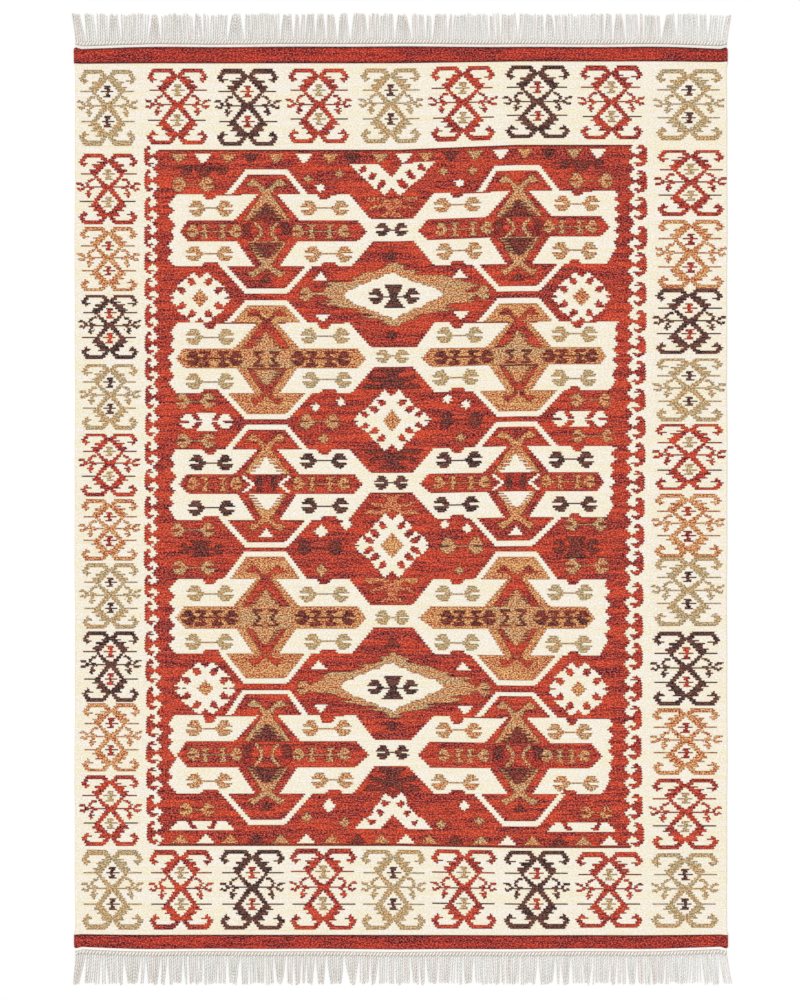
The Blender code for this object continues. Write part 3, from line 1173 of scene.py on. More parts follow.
ROWS: Sequence[MedallionRow] = (
    MedallionRow(
        levels=Levels(169.0, 194.6, 221.0, 242.0, 266.5, 293.6), dyes=RED_TAN, left_x=266.5, right_x=518.5,
        left_bar=(180.3, 187.0, 358.4, 367.0), right_bar=(418.0, 426.7, 601.3, 609.5),
        left_end=(
            (175.7, 194.6), (168.0, 205.3), (174.7, 210.0), (168.0, 216.0), (175.7, 224.7), (171.6, 231.3),
            (174.7, 236.4), (168.0, 245.6), (173.7, 251.7), (167.5, 257.3), (175.2, 266.5),
        ),
        right_end=(
            (615.0, 191.0), (618.0, 194.5), (614.0, 199.2), (619.0, 203.0), (614.0, 208.4), (619.0, 214.5),
            (614.0, 219.0), (619.0, 224.7), (614.0, 230.8), (619.0, 235.0), (614.0, 241.0), (616.0, 247.0),
            (606.0, 263.9),
        ),
        upper_claws=(
            (197.4, 224.5, 208.2), (309.1, 340.1, 208.0),
            (442.3, 472.0, 206.7), (562.7, 590.8, 207.4),
        ),
        lower_claws=(
            (194.8, 224.6, 253.8), (313.2, 344.1, 254.0),
            (445.0, 473.8, 252.7), (560.6, 588.8, 254.1),
        ),
        waist_claws=(382.8, 400.7, 229.6), notch_depth=4.6, right_flats=((24.0, 20.9), (20.7, 20.7)),
    ),
    MedallionRow(
        levels=Levels(300.0, 323.0, 349.0, 368.5, 393.0, 419.5), dyes=OCHRE_RED, left_x=266.5, right_x=518.5,
        left_bar=(176.5, 183.0, 357.9, 366.0), right_bar=(421.8, 430.0, 600.8, 606.4),
        left_end=(
            (176.7, 323.0), (170.6, 331.7), (174.7, 338.4), (170.0, 344.5), (174.7, 350.0), (167.6, 357.2),
            (172.7, 363.9), (169.6, 369.5), (174.2, 376.0), (168.6, 382.2), (176.7, 393.0),
        ),
        right_end=(
            (618.7, 321.5), (614.6, 328.2), (618.0, 333.3), (614.0, 338.4), (618.0, 343.5), (613.0, 349.0),
            (618.0, 354.7), (612.0, 359.8), (618.0, 365.4), (611.5, 374.0), (616.0, 380.0), (609.0, 390.0),
        ),
        upper_claws=(
            (194.4, 225.7, 336.9), (309.3, 341.3, 336.1),
            (445.2, 474.5, 335.9), (560.4, 588.6, 335.3),
        ),
        lower_claws=(
            (194.1, 225.2, 381.4), (310.8, 343.0, 380.0),
            (441.0, 470.1, 379.3), (560.2, 588.0, 381.4),
        ),
        waist_claws=(383.3, 401.5, 356.2), notch_depth=5.5,
        upper_waist=(349.8, 371.6, 416.0, 434.0),
    ),
    MedallionRow(
        levels=Levels(424.5, 449.5, 474.5, 493.5, 520.0, 547.0), dyes=RED_OCHRE, left_x=266.5, right_x=516.0,
        left_bar=(179.3, 186.0, 355.0, 362.6), right_bar=(420.0, 428.0, 598.3, 603.9),
        left_end=(
            (175.7, 449.5), (170.6, 457.7), (175.2, 463.8), (170.6, 469.4), (176.7, 476.0), (170.0, 484.7),
            (175.2, 490.8), (169.6, 498.0), (174.2, 503.0), (169.0, 508.0), (176.2, 520.0),
        ),
        right_end=(
            (611.0, 446.0), (616.6, 448.0), (610.0, 453.0), (616.6, 459.0), (610.0, 463.8), (613.6, 470.0),
            (610.0, 475.5), (615.6, 481.6), (610.0, 486.7), (614.0, 491.8), (610.0, 498.0), (613.6, 504.6),
            (606.0, 517.0),
        ),
        upper_claws=(
            (197.7, 224.7, 462.9), (308.4, 338.7, 460.6),
            (444.3, 473.6, 461.3), (557.0, 585.3, 462.0),
        ),
        lower_claws=(
            (196.4, 226.4, 507.8), (309.9, 340.3, 505.8),
            (442.0, 470.6, 505.7), (560.8, 588.7, 506.9),
        ),
        waist_claws=(382.1, 400.9, 482.6), notch_depth=4.5,
        lower_waist=(348.0, 370.0, 412.0, 437.0), right_flats=((20.7, 20.7), (20.7, 16.8)),
    ),
    MedallionRow(
        levels=Levels(551.4, 579.0, 606.5, 628.5, 654.0, 683.6), dyes=OCHRE_RED, left_x=265.5, right_x=516.5,
        left_bar=(175.7, 183.9, 357.9, 366.0), right_bar=(419.0, 431.0, 586.5, 595.2),
        left_end=(
            (177.8, 579.0), (168.5, 588.7), (175.0, 595.5), (168.5, 602.4), (175.0, 609.0), (168.5, 616.7),
            (175.0, 625.0), (168.5, 632.0), (175.0, 638.0), (168.5, 644.0), (176.0, 654.0),
        ),
        right_end=(
            (606.4, 579.5), (605.0, 585.6), (610.5, 591.0), (605.0, 597.0), (610.5, 604.0), (605.0, 611.0),
            (610.5, 616.5), (605.0, 622.0), (610.5, 628.0), (605.0, 633.6), (608.0, 640.0), (598.8, 656.0),
        ),
        upper_claws=(
            (195.5, 224.9, 593.5), (308.2, 340.4, 594.1),
            (444.0, 471.8, 593.4), (556.3, 584.6, 592.1),
        ),
        lower_claws=(
            (193.6, 224.7, 641.9), (312.8, 343.1, 641.6),
            (442.8, 470.8, 641.9), (554.1, 583.1, 642.6),
        ),
        waist_claws=(382.8, 401.2, 617.5), notch_depth=5.6,
        notches=((203.0, 217.5), (317.0, 331.5), (450.0, 464.5), (566.5, 580.0)),
        bumps=((201.5, 221.0), (318.0, 338.0), (448.5, 466.0), (566.0, 580.5)),
        left_flats=((21.2, 21.2), (21.2, 21.2)), right_flats=((20.4, 20.4), (18.7, 18.7)),
        left_steps=((34.5, 48.5, 64.5, 77.0), (36.5, 50.5, 65.5, 82.5)),
        right_steps=((27.5, 40.5, 56.5, 69.5), (24.8, 37.8, 52.8, 66.5)), right_letters_x=-3.0,
    ),
    MedallionRow(
        levels=Levels(689.5, 715.4, 741.4, 767.4, 793.5, 825.0), dyes=RED_TAN, left_x=267.0, right_x=518.0,
        left_bar=(177.2, 186.0, 356.5, 369.3), right_bar=(418.0, 428.8, 591.6, 602.3),
        left_end=(
            (174.0, 715.4), (168.0, 724.0), (173.7, 730.0), (168.0, 736.3), (173.0, 741.4), (168.0, 747.0),
            (176.7, 757.8), (168.6, 771.0), (173.0, 776.6), (167.5, 782.2), (177.8, 793.5),
        ),
        right_end=(
            (609.0, 718.5), (613.6, 724.5), (607.0, 729.0), (613.0, 735.0), (608.0, 741.4), (612.0, 746.0),
            (608.0, 750.6), (613.6, 756.5), (609.0, 762.3), (612.0, 768.0), (608.0, 774.0), (610.0, 779.0),
            (601.8, 794.0),
        ),
        upper_claws=(
            (194.3, 223.6, 728.5), (310.9, 342.8, 728.3),
            (444.2, 473.2, 729.2), (555.6, 583.5, 729.6),
        ),
        lower_claws=(
            (195.1, 223.6, 781.0), (320.0, 345.1, 779.9),
            (440.0, 470.5, 782.1), (561.6, 590.3, 782.5),
        ),
        waist_claws=(383.3, 401.8, 752.3), notch_depth=7.2,
        notches=((203.0, 217.0), (319.6, 336.0), (450.0, 464.0), (566.0, 578.0)),
        bumps=((201.0, 220.5), (325.7, 343.0), (449.0, 466.0), (561.0, 577.5)),
        left_flats=((24.6, 23.0), (17.4, 17.4)), right_flats=((18.8, 18.8), (17.4, 17.0)),
        right_steps=((34.7, 48.0, 58.8, 73.6), (29.4, 42.0, 54.0, 66.0)), right_lean=0.045,
        upper_waist=(356.0, 374.7, 410.0, 433.0), lower_waist=(353.0, 374.2, 408.5, 435.0),
    ),
)

CORNERS: Sequence[Motif] = (CornerFigure(Place(204.1, 171.0)), CornerFigure(laid(581.4, 165.6)))
CLOUD_BARS: Sequence[Motif] = (
    CloudBar(Place(202.4, 825.6, 0.95, 0.94), inset=4.4), CloudBar(laid(581.9, 826.8)),
)
CRABS: Sequence[Motif] = (
    Crab(Place(391.4, 207.0, 1.0, -1.0), Dye.RUST),
    Crab(Place(392.3, 378.8, 1.06, 1.03), Dye.BROWN),
    Crab(Place(393.2, 459.2, 1.06, -0.90), Dye.BROWN),
    Crab(Place(391.8, 504.0), Dye.RUST),
    Crab(Place(392.2, 590.0, 1.0, -1.2), Dye.RUST),
    Crab(Place(392.3, 779.2, 1.04, 1.12), Dye.BROWN),
)

STARS: Sequence[Motif] = (
    Star(Place(200.2, 297.8, 1.04, 1.0), (7.9, 9.3), SIDE_STAR_EDGE, SIDE_STAR_LEAVES),
    Star(laid(581.6, 296.4, 1.0, 0.96), (8.6, 9.0), SIDE_STAR_EDGE, SIDE_STAR_LEAVES),
    Star(Place(205.3, 688.0, 1.06, 1.03), (8.2, 8.0), SIDE_STAR_EDGE, SIDE_STAR_LEAVES, side_slit=4.0),
    Star(laid(578.3, 688.9, 1.04, 1.04), (7.6, 8.2), SIDE_STAR_EDGE, SIDE_STAR_LEAVES),
    Star(Place(391.8, 420.1, 0.98, 0.99), (8.8, 11.3), HEART_STAR_EDGE, HEART_STAR_LEAVES, side_slit=6.4),
    Star(Place(392.2, 545.1, 0.95, 1.04), (11.4, 12.7), HEART_STAR_EDGE, BROAD_STAR_LEAVES, side_slit=5.0),
    HalfStar(
        (
            (349.2, 163.5), (378.8, 164.5), (392.0, 177.2), (402.2, 164.0), (435.4, 162.4), (426.7, 171.0),
            (424.7, 174.7), (418.6, 180.3), (408.9, 187.4), (400.2, 195.6), (391.5, 187.4), (384.4, 195.6),
            (379.3, 189.0), (374.7, 188.5), (368.0, 181.3), (365.5, 179.3), (360.4, 174.7), (355.3, 169.6),
        ),
        (
            ((362.5, 165.8), (367.2, 166.3), (366.2, 170.2), (361.7, 173.4), (358.3, 170.5)),
            ((371.0, 172.2), (376.6, 173.8), (374.8, 178.2), (370.6, 180.8), (367.2, 178.6)),
            ((381.0, 179.2), (386.4, 180.8), (384.9, 185.6), (379.6, 189.4), (376.2, 186.4)),
            ((417.3, 165.4), (422.2, 164.3), (426.8, 170.7), (424.2, 172.0), (418.2, 170.2)),
            ((405.2, 172.0), (410.1, 169.8), (415.4, 176.6), (413.8, 180.0), (408.8, 178.8)),
            ((396.8, 180.6), (401.8, 178.5), (409.0, 185.6), (406.6, 189.0), (399.8, 187.6)),
        ),
    ),
    HalfStar(
        (
            (384.9, 793.0), (393.6, 799.0), (401.7, 792.0), (407.3, 798.6), (406.3, 803.7), (412.0, 809.8),
            (419.6, 817.0), (423.7, 818.5), (432.3, 828.7), (407.3, 828.7), (393.0, 814.4), (379.8, 828.7),
            (354.3, 828.7), (364.5, 818.0), (368.0, 817.4), (373.7, 812.3), (373.2, 807.8), (378.8, 802.7),
            (381.8, 798.6),
        ),
        (
            ((380.8, 802.7), (382.9, 799.6), (390.5, 802.0), (384.9, 807.2)),
            ((376.0, 809.5), (378.0, 808.6), (384.4, 811.3), (380.3, 817.4)),
            ((366.5, 818.5), (376.7, 820.5), (371.6, 826.0)),
            ((396.6, 803.7), (401.2, 800.0), (405.3, 802.7), (401.2, 808.3)),
            ((402.2, 811.3), (411.4, 810.8), (407.3, 817.4)),
            ((410.9, 822.0), (418.6, 819.0), (415.0, 826.0)),
        ),
    ),
)

PAIRS: Sequence[Motif] = (
    Pair(179.4, 206.4, 184.2, Dye.TAN, Dye.RED, 0.98),
    Pair(576.9, 605.7, 180.2, Dye.TAN, Dye.RED, 0.93),
    Pair(182.8, 207.6, 401.0, Dye.TAN, Dye.RED, 0.98),
    Pair(576.7, 604.9, 400.0, Dye.TAN, Dye.RED, 0.88),
    Pair(183.9, 208.3, 440.4, Dye.TAN, Dye.RED, 0.95),
    Pair(578.2, 606.8, 435.8, Dye.TAN, Dye.RED, 0.84),
    Pair(178.1, 207.6, 530.0, Dye.TAN, Dye.RED, 0.91),
    Pair(571.3, 599.6, 523.8, Dye.TAN, Dye.RED, 0.84),
    Pair(180.2, 207.7, 567.4, Dye.TAN, Dye.RED, 0.97),
    Pair(572.9, 601.3, 566.1, Dye.TAN, Dye.RED, 0.98),
    Pair(186.4, 208.1, 809.5, Dye.ORANGE, Dye.RED, 0.92),
    Pair(586.7, 606.0, 812.6, Dye.ORANGE, Dye.RED, 0.82),
    Hourglass(Place(206.3, 421.8), Dye.CREAM, Dye.RED, 18.2, 10.5, 11.3, 9.7, 4.7),
    Hourglass(laid(580.0, 419.2, 1.10, 0.97), Dye.CREAM, Dye.RED, 19.4, 10.0, 10.0, 8.4, 4.7),
    Hourglass(Place(201.7, 549.2), Dye.BROWN, Dye.RED, 17.4, 10.7, 10.7, 7.7, 5.0, 0.66),
    Hourglass(laid(576.2, 546.2, 1.18, 1.0), Dye.BROWN, Dye.RED, 17.0, 9.0, 9.0, 9.6, 4.4, 0.82),
    Pair(306.5, 483.2, 294.4, Dye.TAN, Dye.BROWN, 0.92, Bud),
    Pair(303.8, 483.2, 687.8, Dye.TAN, Dye.BROWN, 0.92, Bud),
    Eye(Place(394.1, 296.0, 1.04, 1.05), 1.08),
    Eye(Place(392.8, 687.0, 1.08, 1.08), 1.10),
    Pair(307.0, 331.9, 421.9, Dye.TAN, Dye.BROWN, 0.96, Bud),
    Pair(447.4, 475.4, 420.0, Dye.BROWN, Dye.BROWN, 0.92, Bud),
    Pair(305.2, 334.9, 547.8, Dye.BROWN, Dye.BROWN, 0.92, Bud),
    Pair(448.4, 475.5, 545.9, Dye.TAN, Dye.BROWN, 1.0, Bud),
)

# Each figure is given by its x and y on the finished cloth and its stretch across and down.
FIGURES: Sequence[tuple[Spot, Dye, Sequence[Span]]] = (
    (Spot.STARLET, Dye.CREAM, (
        (320.1, 188.0, 0.95, 0.85), (459.4, 183.0, 1.00, 0.76), (315.8, 407.2, 0.97, 0.80),
        (340.7, 402.0, 0.86, 0.90), (447.5, 399.1, 1.00, 0.90), (466.0, 404.2, 0.96, 0.92),
    )),
    (Spot.DIAMOND, Dye.TAN, (
        (307.9, 178.8, 0.80, 0.75), (339.5, 173.6, 0.75, 0.85), (443.4, 170.8, 0.92, 0.76),
        (472.4, 170.0, 0.92, 0.80), (323.9, 438.6, 1.06, 0.90), (460.6, 437.4, 0.92, 0.80),
        (321.6, 570.0, 1.08, 1.12), (459.4, 570.0, 0.88, 0.80), (307.0, 817.2, 0.97, 0.98),
        (344.6, 822.3, 0.93, 0.96), (441.0, 824.0, 0.84, 0.94), (479.2, 820.7, 0.94, 0.76),
    )),
    (Spot.UP, Dye.CREAM, (
        (320.9, 276.5, 1.06, 1.02), (460.0, 273.8, 1.10, 1.00), (318.6, 664.7, 1.12, 0.90),
        (463.0, 666.1, 1.04, 0.86),
    )),
    (Spot.DOWN, Dye.CREAM, (
        (322.6, 317.7, 1.00, 0.86), (461.2, 315.0, 1.04, 0.92), (320.8, 708.0, 0.90, 1.08),
        (465.0, 710.0, 0.98, 1.00),
    )),
    (Spot.LOZENGE, Dye.CREAM, (
        (321.4, 531.0, 1.22, 1.22), (346.4, 523.8, 1.05, 1.20), (444.6, 524.2, 0.88, 0.90),
        (467.2, 528.0, 0.90, 0.92), (329.1, 805.3, 1.13, 1.36), (464.4, 805.5, 0.94, 1.00),
    )),
    (Spot.STARLET, Dye.BROWN, (
        (391.3, 255.2, 1.30, 0.96), (392.4, 335.6, 1.12, 0.96), (392.0, 726.0, 1.30, 0.94),
    )),
    (Spot.UP, Dye.BROWN, (
        (392.5, 642.4, 1.20, 1.02),
    )),
)

TOP_TEETH_X = (
    179.0, 203.0, 228.0, 250.5, 276.0, 304.0, 330.0, 352.0, 380.0, 404.0, 426.0, 451.0, 475.0, 501.0,
    525.0, 549.0, 574.0, 598.0,
)
BOTTOM_TEETH_X = (
    180.5, 206.0, 230.3, 256.8, 281.0, 306.5, 332.0, 358.0, 381.8, 406.2, 429.3, 455.5, 481.0, 507.8,
    532.7, 559.4, 583.6, 609.7,
)
TEETH_DYES = (Dye.TAN, Dye.CREAM, Dye.ORANGE, Dye.BROWN)

# The sides of the field: rows of (y, x of the edge), (y, x of the hooks), (y, stretch of the hooks).
LEFT_EDGE = (
    (150.0, 154.7), (320.0, 155.3), (450.0, 155.7), (560.0, 154.9), (645.0, 155.8), (698.0, 158.4),
    (850.0, 159.7),
)
LEFT_HOOKS_X = (
    (150.0, 147.9), (320.0, 148.7), (450.0, 148.9), (560.0, 148.4), (645.0, 149.0), (698.0, 150.8),
    (850.0, 152.0),
)
LEFT_HOOKS_WIDE = ((150.0, 0.62), (520.0, 0.68), (645.0, 0.72), (720.0, 0.84))
RIGHT_EDGE = (
    (150.0, 632.4), (293.0, 631.4), (427.0, 630.0), (595.0, 628.4), (747.0, 626.6), (806.0, 628.2),
    (850.0, 630.8),
)
RIGHT_HOOKS_X = (
    (150.0, 641.6), (293.0, 641.1), (427.0, 639.7), (595.0, 637.8), (747.0, 635.6), (806.0, 636.9),
    (850.0, 639.6),
)
RIGHT_HOOKS_WIDE = ((150.0, 0.96),)
LEFT_HOOKS_Y = (
    156.6, 180.9, 209.3, 236.4, 263.0, 289.3, 316.2, 343.2, 369.4, 397.2, 424.8, 453.0, 480.5, 507.5,
    534.5, 559.8, 586.5, 613.2, 643.3, 671.1, 698.6, 725.9, 752.7, 779.0, 806.0, 832.8,
)
RIGHT_HOOKS_Y = (
    155.9, 181.5, 208.7, 237.2, 264.8, 293.8, 322.0, 347.3, 372.5, 400.3, 427.5, 454.5, 482.5, 508.5,
    535.8, 563.3, 595.3, 626.0, 657.0, 688.8, 718.3, 747.3, 776.3, 806.5, 835.0,
)

BORDER_HEARTS = {Dye.KHAKI: Dye.DARK, Dye.RED: Dye.KHAKI, Dye.DARK: Dye.RED, Dye.ORANGE: Dye.CRIMSON}
# Each side: how slim its motifs are and how far their twigs reach, then the x, y, width, height
# and dye of every motif.
BORDERS: Sequence[tuple[float, float, Sequence[tuple[float, float, float, float, Dye]]]] = (
    (1.02, 1.01, (
        (107.5, 106.1, 0.90, 0.98, Dye.KHAKI), (177.3, 105.0, 0.97, 1.00, Dye.RED),
        (247.6, 105.6, 0.98, 1.00, Dye.DARK), (318.6, 104.3, 0.97, 0.98, Dye.RED),
        (390.6, 103.9, 0.95, 0.98, Dye.KHAKI), (463.0, 102.5, 1.03, 0.98, Dye.RED),
        (537.7, 101.6, 1.03, 0.97, Dye.DARK), (611.6, 102.0, 1.00, 0.98, Dye.RED),
        (689.2, 104.2, 1.06, 0.95, Dye.KHAKI),
    )),
    (0.93, 0.94, (
        (112.3, 888.0, 0.98, 1.03, Dye.KHAKI), (181.0, 888.0, 1.02, 1.03, Dye.RED),
        (252.3, 887.7, 1.04, 1.05, Dye.DARK), (323.3, 887.3, 1.07, 1.06, Dye.RED),
        (393.4, 887.6, 1.03, 1.05, Dye.KHAKI), (464.1, 887.3, 1.05, 1.05, Dye.RED),
        (537.0, 888.0, 1.06, 1.04, Dye.DARK), (609.4, 888.7, 1.07, 1.01, Dye.RED),
        (685.1, 888.8, 1.07, 1.00, Dye.KHAKI),
    )),
    (0.97, 1.02, (
        (108.2, 187.7, 0.94, 0.92, Dye.RED), (108.8, 258.0, 0.91, 0.84, Dye.ORANGE),
        (109.8, 325.2, 0.91, 0.84, Dye.DARK), (109.7, 395.1, 0.89, 0.86, Dye.KHAKI),
        (109.5, 463.4, 0.90, 0.83, Dye.RED), (109.7, 528.6, 0.90, 0.80, Dye.ORANGE),
        (110.5, 594.7, 0.90, 0.85, Dye.KHAKI), (110.5, 664.7, 0.90, 0.92, Dye.DARK),
        (111.2, 736.2, 0.91, 0.89, Dye.ORANGE), (110.5, 809.0, 0.92, 0.92, Dye.RED),
    )),
    (0.98, 1.02, (
        (690.5, 182.0, 1.07, 0.86, Dye.RED), (690.6, 252.4, 1.06, 0.88, Dye.ORANGE),
        (689.5, 321.3, 1.08, 0.85, Dye.DARK), (689.5, 388.1, 1.07, 0.82, Dye.KHAKI),
        (689.0, 455.1, 1.09, 0.87, Dye.RED), (688.0, 523.1, 1.07, 0.80, Dye.ORANGE),
        (688.4, 590.2, 1.08, 0.90, Dye.KHAKI), (686.5, 667.3, 1.07, 0.94, Dye.DARK),
        (685.7, 739.9, 1.07, 0.89, Dye.ORANGE), (685.4, 812.0, 1.07, 0.90, Dye.RED),
    )),
)


@dataclass(frozen=True)
class KilimPattern:
    """The rug's whole pattern, from the end bands in to the stars."""

    field_top: float = 150.0
    field_bottom: float = 845.5
    band_inner_top: float = 63.4
    band_inner_bottom: float = 935.6
    top_tooth: tuple[float, float, float] = (7.9, 1.14, 1.20)
    bottom_tooth: tuple[float, float, float] = (-6.9, 1.24, 1.0)
    right_hooks_x: float = 640.0

    def end_bands(self, chart: Chart) -> None:
        """Weave the red band at each end and the dark row that closes it.

        Args:
            chart: The chart to draw on.
        """
        low, high = chart.left - 1.0, chart.right + 1.0
        for outer, inner in (
            (chart.top - 1.0, self.band_inner_top), (self.band_inner_bottom, chart.bottom + 1.0),
        ):
            chart.fill(((low, outer), (high, outer), (high, inner), (low, inner)), Dye.CRIMSON)
        for level in (self.band_inner_top, self.band_inner_bottom, chart.top, chart.bottom):
            chart.pick(low, high, level, Dye.BROWN)

    def border(self, chart: Chart) -> None:
        """Weave the ram's-horn border on all four sides.

        Args:
            chart: The chart to draw on.
        """
        for slim, twig_reach, motifs in BORDERS:
            for x, y, wide, tall, dye in motifs:
                RamHorn(laid(x, y, wide, tall), dye, BORDER_HEARTS[dye], slim, twig_reach).weave(chart)

    def field(self, chart: Chart) -> None:
        """Weave the red field with its hooked sides and the teeth of its ends.

        Args:
            chart: The chart to draw on.
        """
        left = HookRow(-1, LEFT_EDGE, LEFT_HOOKS_X, LEFT_HOOKS_WIDE, LEFT_HOOKS_Y)
        right_y = [PULL.undo(self.right_hooks_x, y)[1] for y in RIGHT_HOOKS_Y]
        right = HookRow(1, RIGHT_EDGE, RIGHT_HOOKS_X, RIGHT_HOOKS_WIDE, right_y)
        for row in (left, right):
            row.weave(chart)
        edges = [side.field_edge(self.field_top, self.field_bottom) for side in (left, right)]
        chart.fill([*reversed(edges[0]), *edges[1]], Dye.RED)
        for level, end in ((self.field_top, 0), (self.field_bottom, -1)):
            chart.pick(edges[0][end][0], edges[1][end][0], level, Dye.BROWN)
        for teeth, level, spot, (drop, wide, tall) in (
            (TOP_TEETH_X, self.field_top, Spot.DOWN, self.top_tooth),
            (BOTTOM_TEETH_X, self.field_bottom, Spot.UP, self.bottom_tooth),
        ):
            for x, dye in zip(teeth, cycle(TEETH_DYES)):
                SmallFigure(Place(x, level + drop, wide, tall), spot, dye).weave(chart)

    def weave(self) -> Chart:
        """Return the finished chart.

        Returns:
            The chart, with every motif in it.
        """
        chart = Chart()
        self.border(chart)
        self.field(chart)
        for motif in (*CORNERS, *ROWS, *CRABS, *STARS, *PAIRS, *CLOUD_BARS):
            motif.weave(chart)
        for spot, dye, places in FIGURES:
            for place in places:
                SmallFigure(laid(*place), spot, dye).weave(chart)
        self.end_bands(chart)
        return chart


# --------------------------------------------------------------------------- cloth mesh


Runs = tuple[list[float], list[int]]


@dataclass
class Line:
    """One line between two rows of weft: its nodes, and which of them end the runs beside it."""

    y: float
    x: np.ndarray
    above: list[int]
    below: list[int]


@dataclass
class Seam:
    """The stretch of a line that one run of one row hangs from or stands on."""

    line: Line
    first: int
    ends: tuple[int, int]
    changes: np.ndarray

    def reach(self, node: int) -> tuple[float, float, float]:
        """Return how far a node lies from the run's left and right end, in millimetres.

        Args:
            node: The node, counted along the line.

        Returns:
            The two distances, and zero.
        """
        x, (low, high) = self.line.x, self.ends
        scale = SQUARE * 1000.0
        return (x[node] - x[low]) * scale, (x[high] - x[node]) * scale, 0.0

    def beside(self, node: int) -> float:
        """Return for how much of the seam next to a node the dye changes across it."""
        near = [self.changes[k] for k in (node - 1, node) if self.ends[0] <= k < self.ends[1]]
        return float(sum(near) / len(near)) if near else 0.0


@dataclass
class Layer:
    """One face of the cloth as triangles, with what the finish needs to know at each corner."""

    places: list[Point] = field(default_factory=list)
    triangles: list[tuple[int, ...]] = field(default_factory=list)
    dyes: list[int] = field(default_factory=list)
    reach: list[tuple[float, float, float]] = field(default_factory=list)
    border: list[tuple[float, float, float]] = field(default_factory=list)
    rim: list[int] = field(default_factory=list)
    edge_reach: ClassVar[tuple[float, float, float]] = (9.0, 9.0, 0.0)

    def add(self, corners: tuple[int, int, int], dye: int) -> None:
        """Add a triangle of the cloth's edge, far from any change of dye.

        Args:
            corners: The triangle's points.
            dye: Its dye.
        """
        self.triangles.append(corners)
        self.dyes.append(dye)
        self.reach += [self.edge_reach] * 3
        self.border += [(0.0, 0.0, 0.0)] * 3

    def zip_run(self, top: Seam, bottom: Seam, dye: int) -> None:
        """Fill one run of one row with triangles between its two seams.

        Args:
            top: The seam above the run.
            bottom: The seam below it.
            dye: The run's dye.
        """
        p, q = top.ends[0], bottom.ends[0]
        while p < top.ends[1] or q < bottom.ends[1]:
            top_is_next = p < top.ends[1] and top.line.x[p + 1] < bottom.line.x[min(q + 1, bottom.ends[1])]
            if q >= bottom.ends[1] or top_is_next:
                flat = float(top.changes[p])
                corners = (
                    (top, p, (flat, 0.0, 0.0)), (bottom, q, (0.0, bottom.beside(q), 0.0)),
                    (top, p + 1, (flat, 0.0, 0.0)),
                )
                p += 1
            else:
                flat = float(bottom.changes[q])
                corners = (
                    (top, p, (top.beside(p), 0.0, 0.0)), (bottom, q, (0.0, flat, 0.0)),
                    (bottom, q + 1, (0.0, flat, 0.0)),
                )
                q += 1
            self.triangles.append(tuple(seam.first + node for seam, node, _ in corners))
            self.dyes.append(dye)
            self.reach += [seam.reach(node) for seam, node, _ in corners]
            self.border += [border for _, _, border in corners]

    def add_turned(self, other: "Layer", first: int) -> None:
        """Add another face, turned over, whose points start at index first.

        Args:
            other: The face to add.
            first: The index of its first point.
        """
        for number, (a, b, c) in enumerate(other.triangles):
            self.triangles.append((first + a, first + c, first + b))
            for order in (0, 2, 1):
                self.reach.append(other.reach[3 * number + order])
                self.border.append(other.border[3 * number + order])
        self.dyes += other.dyes


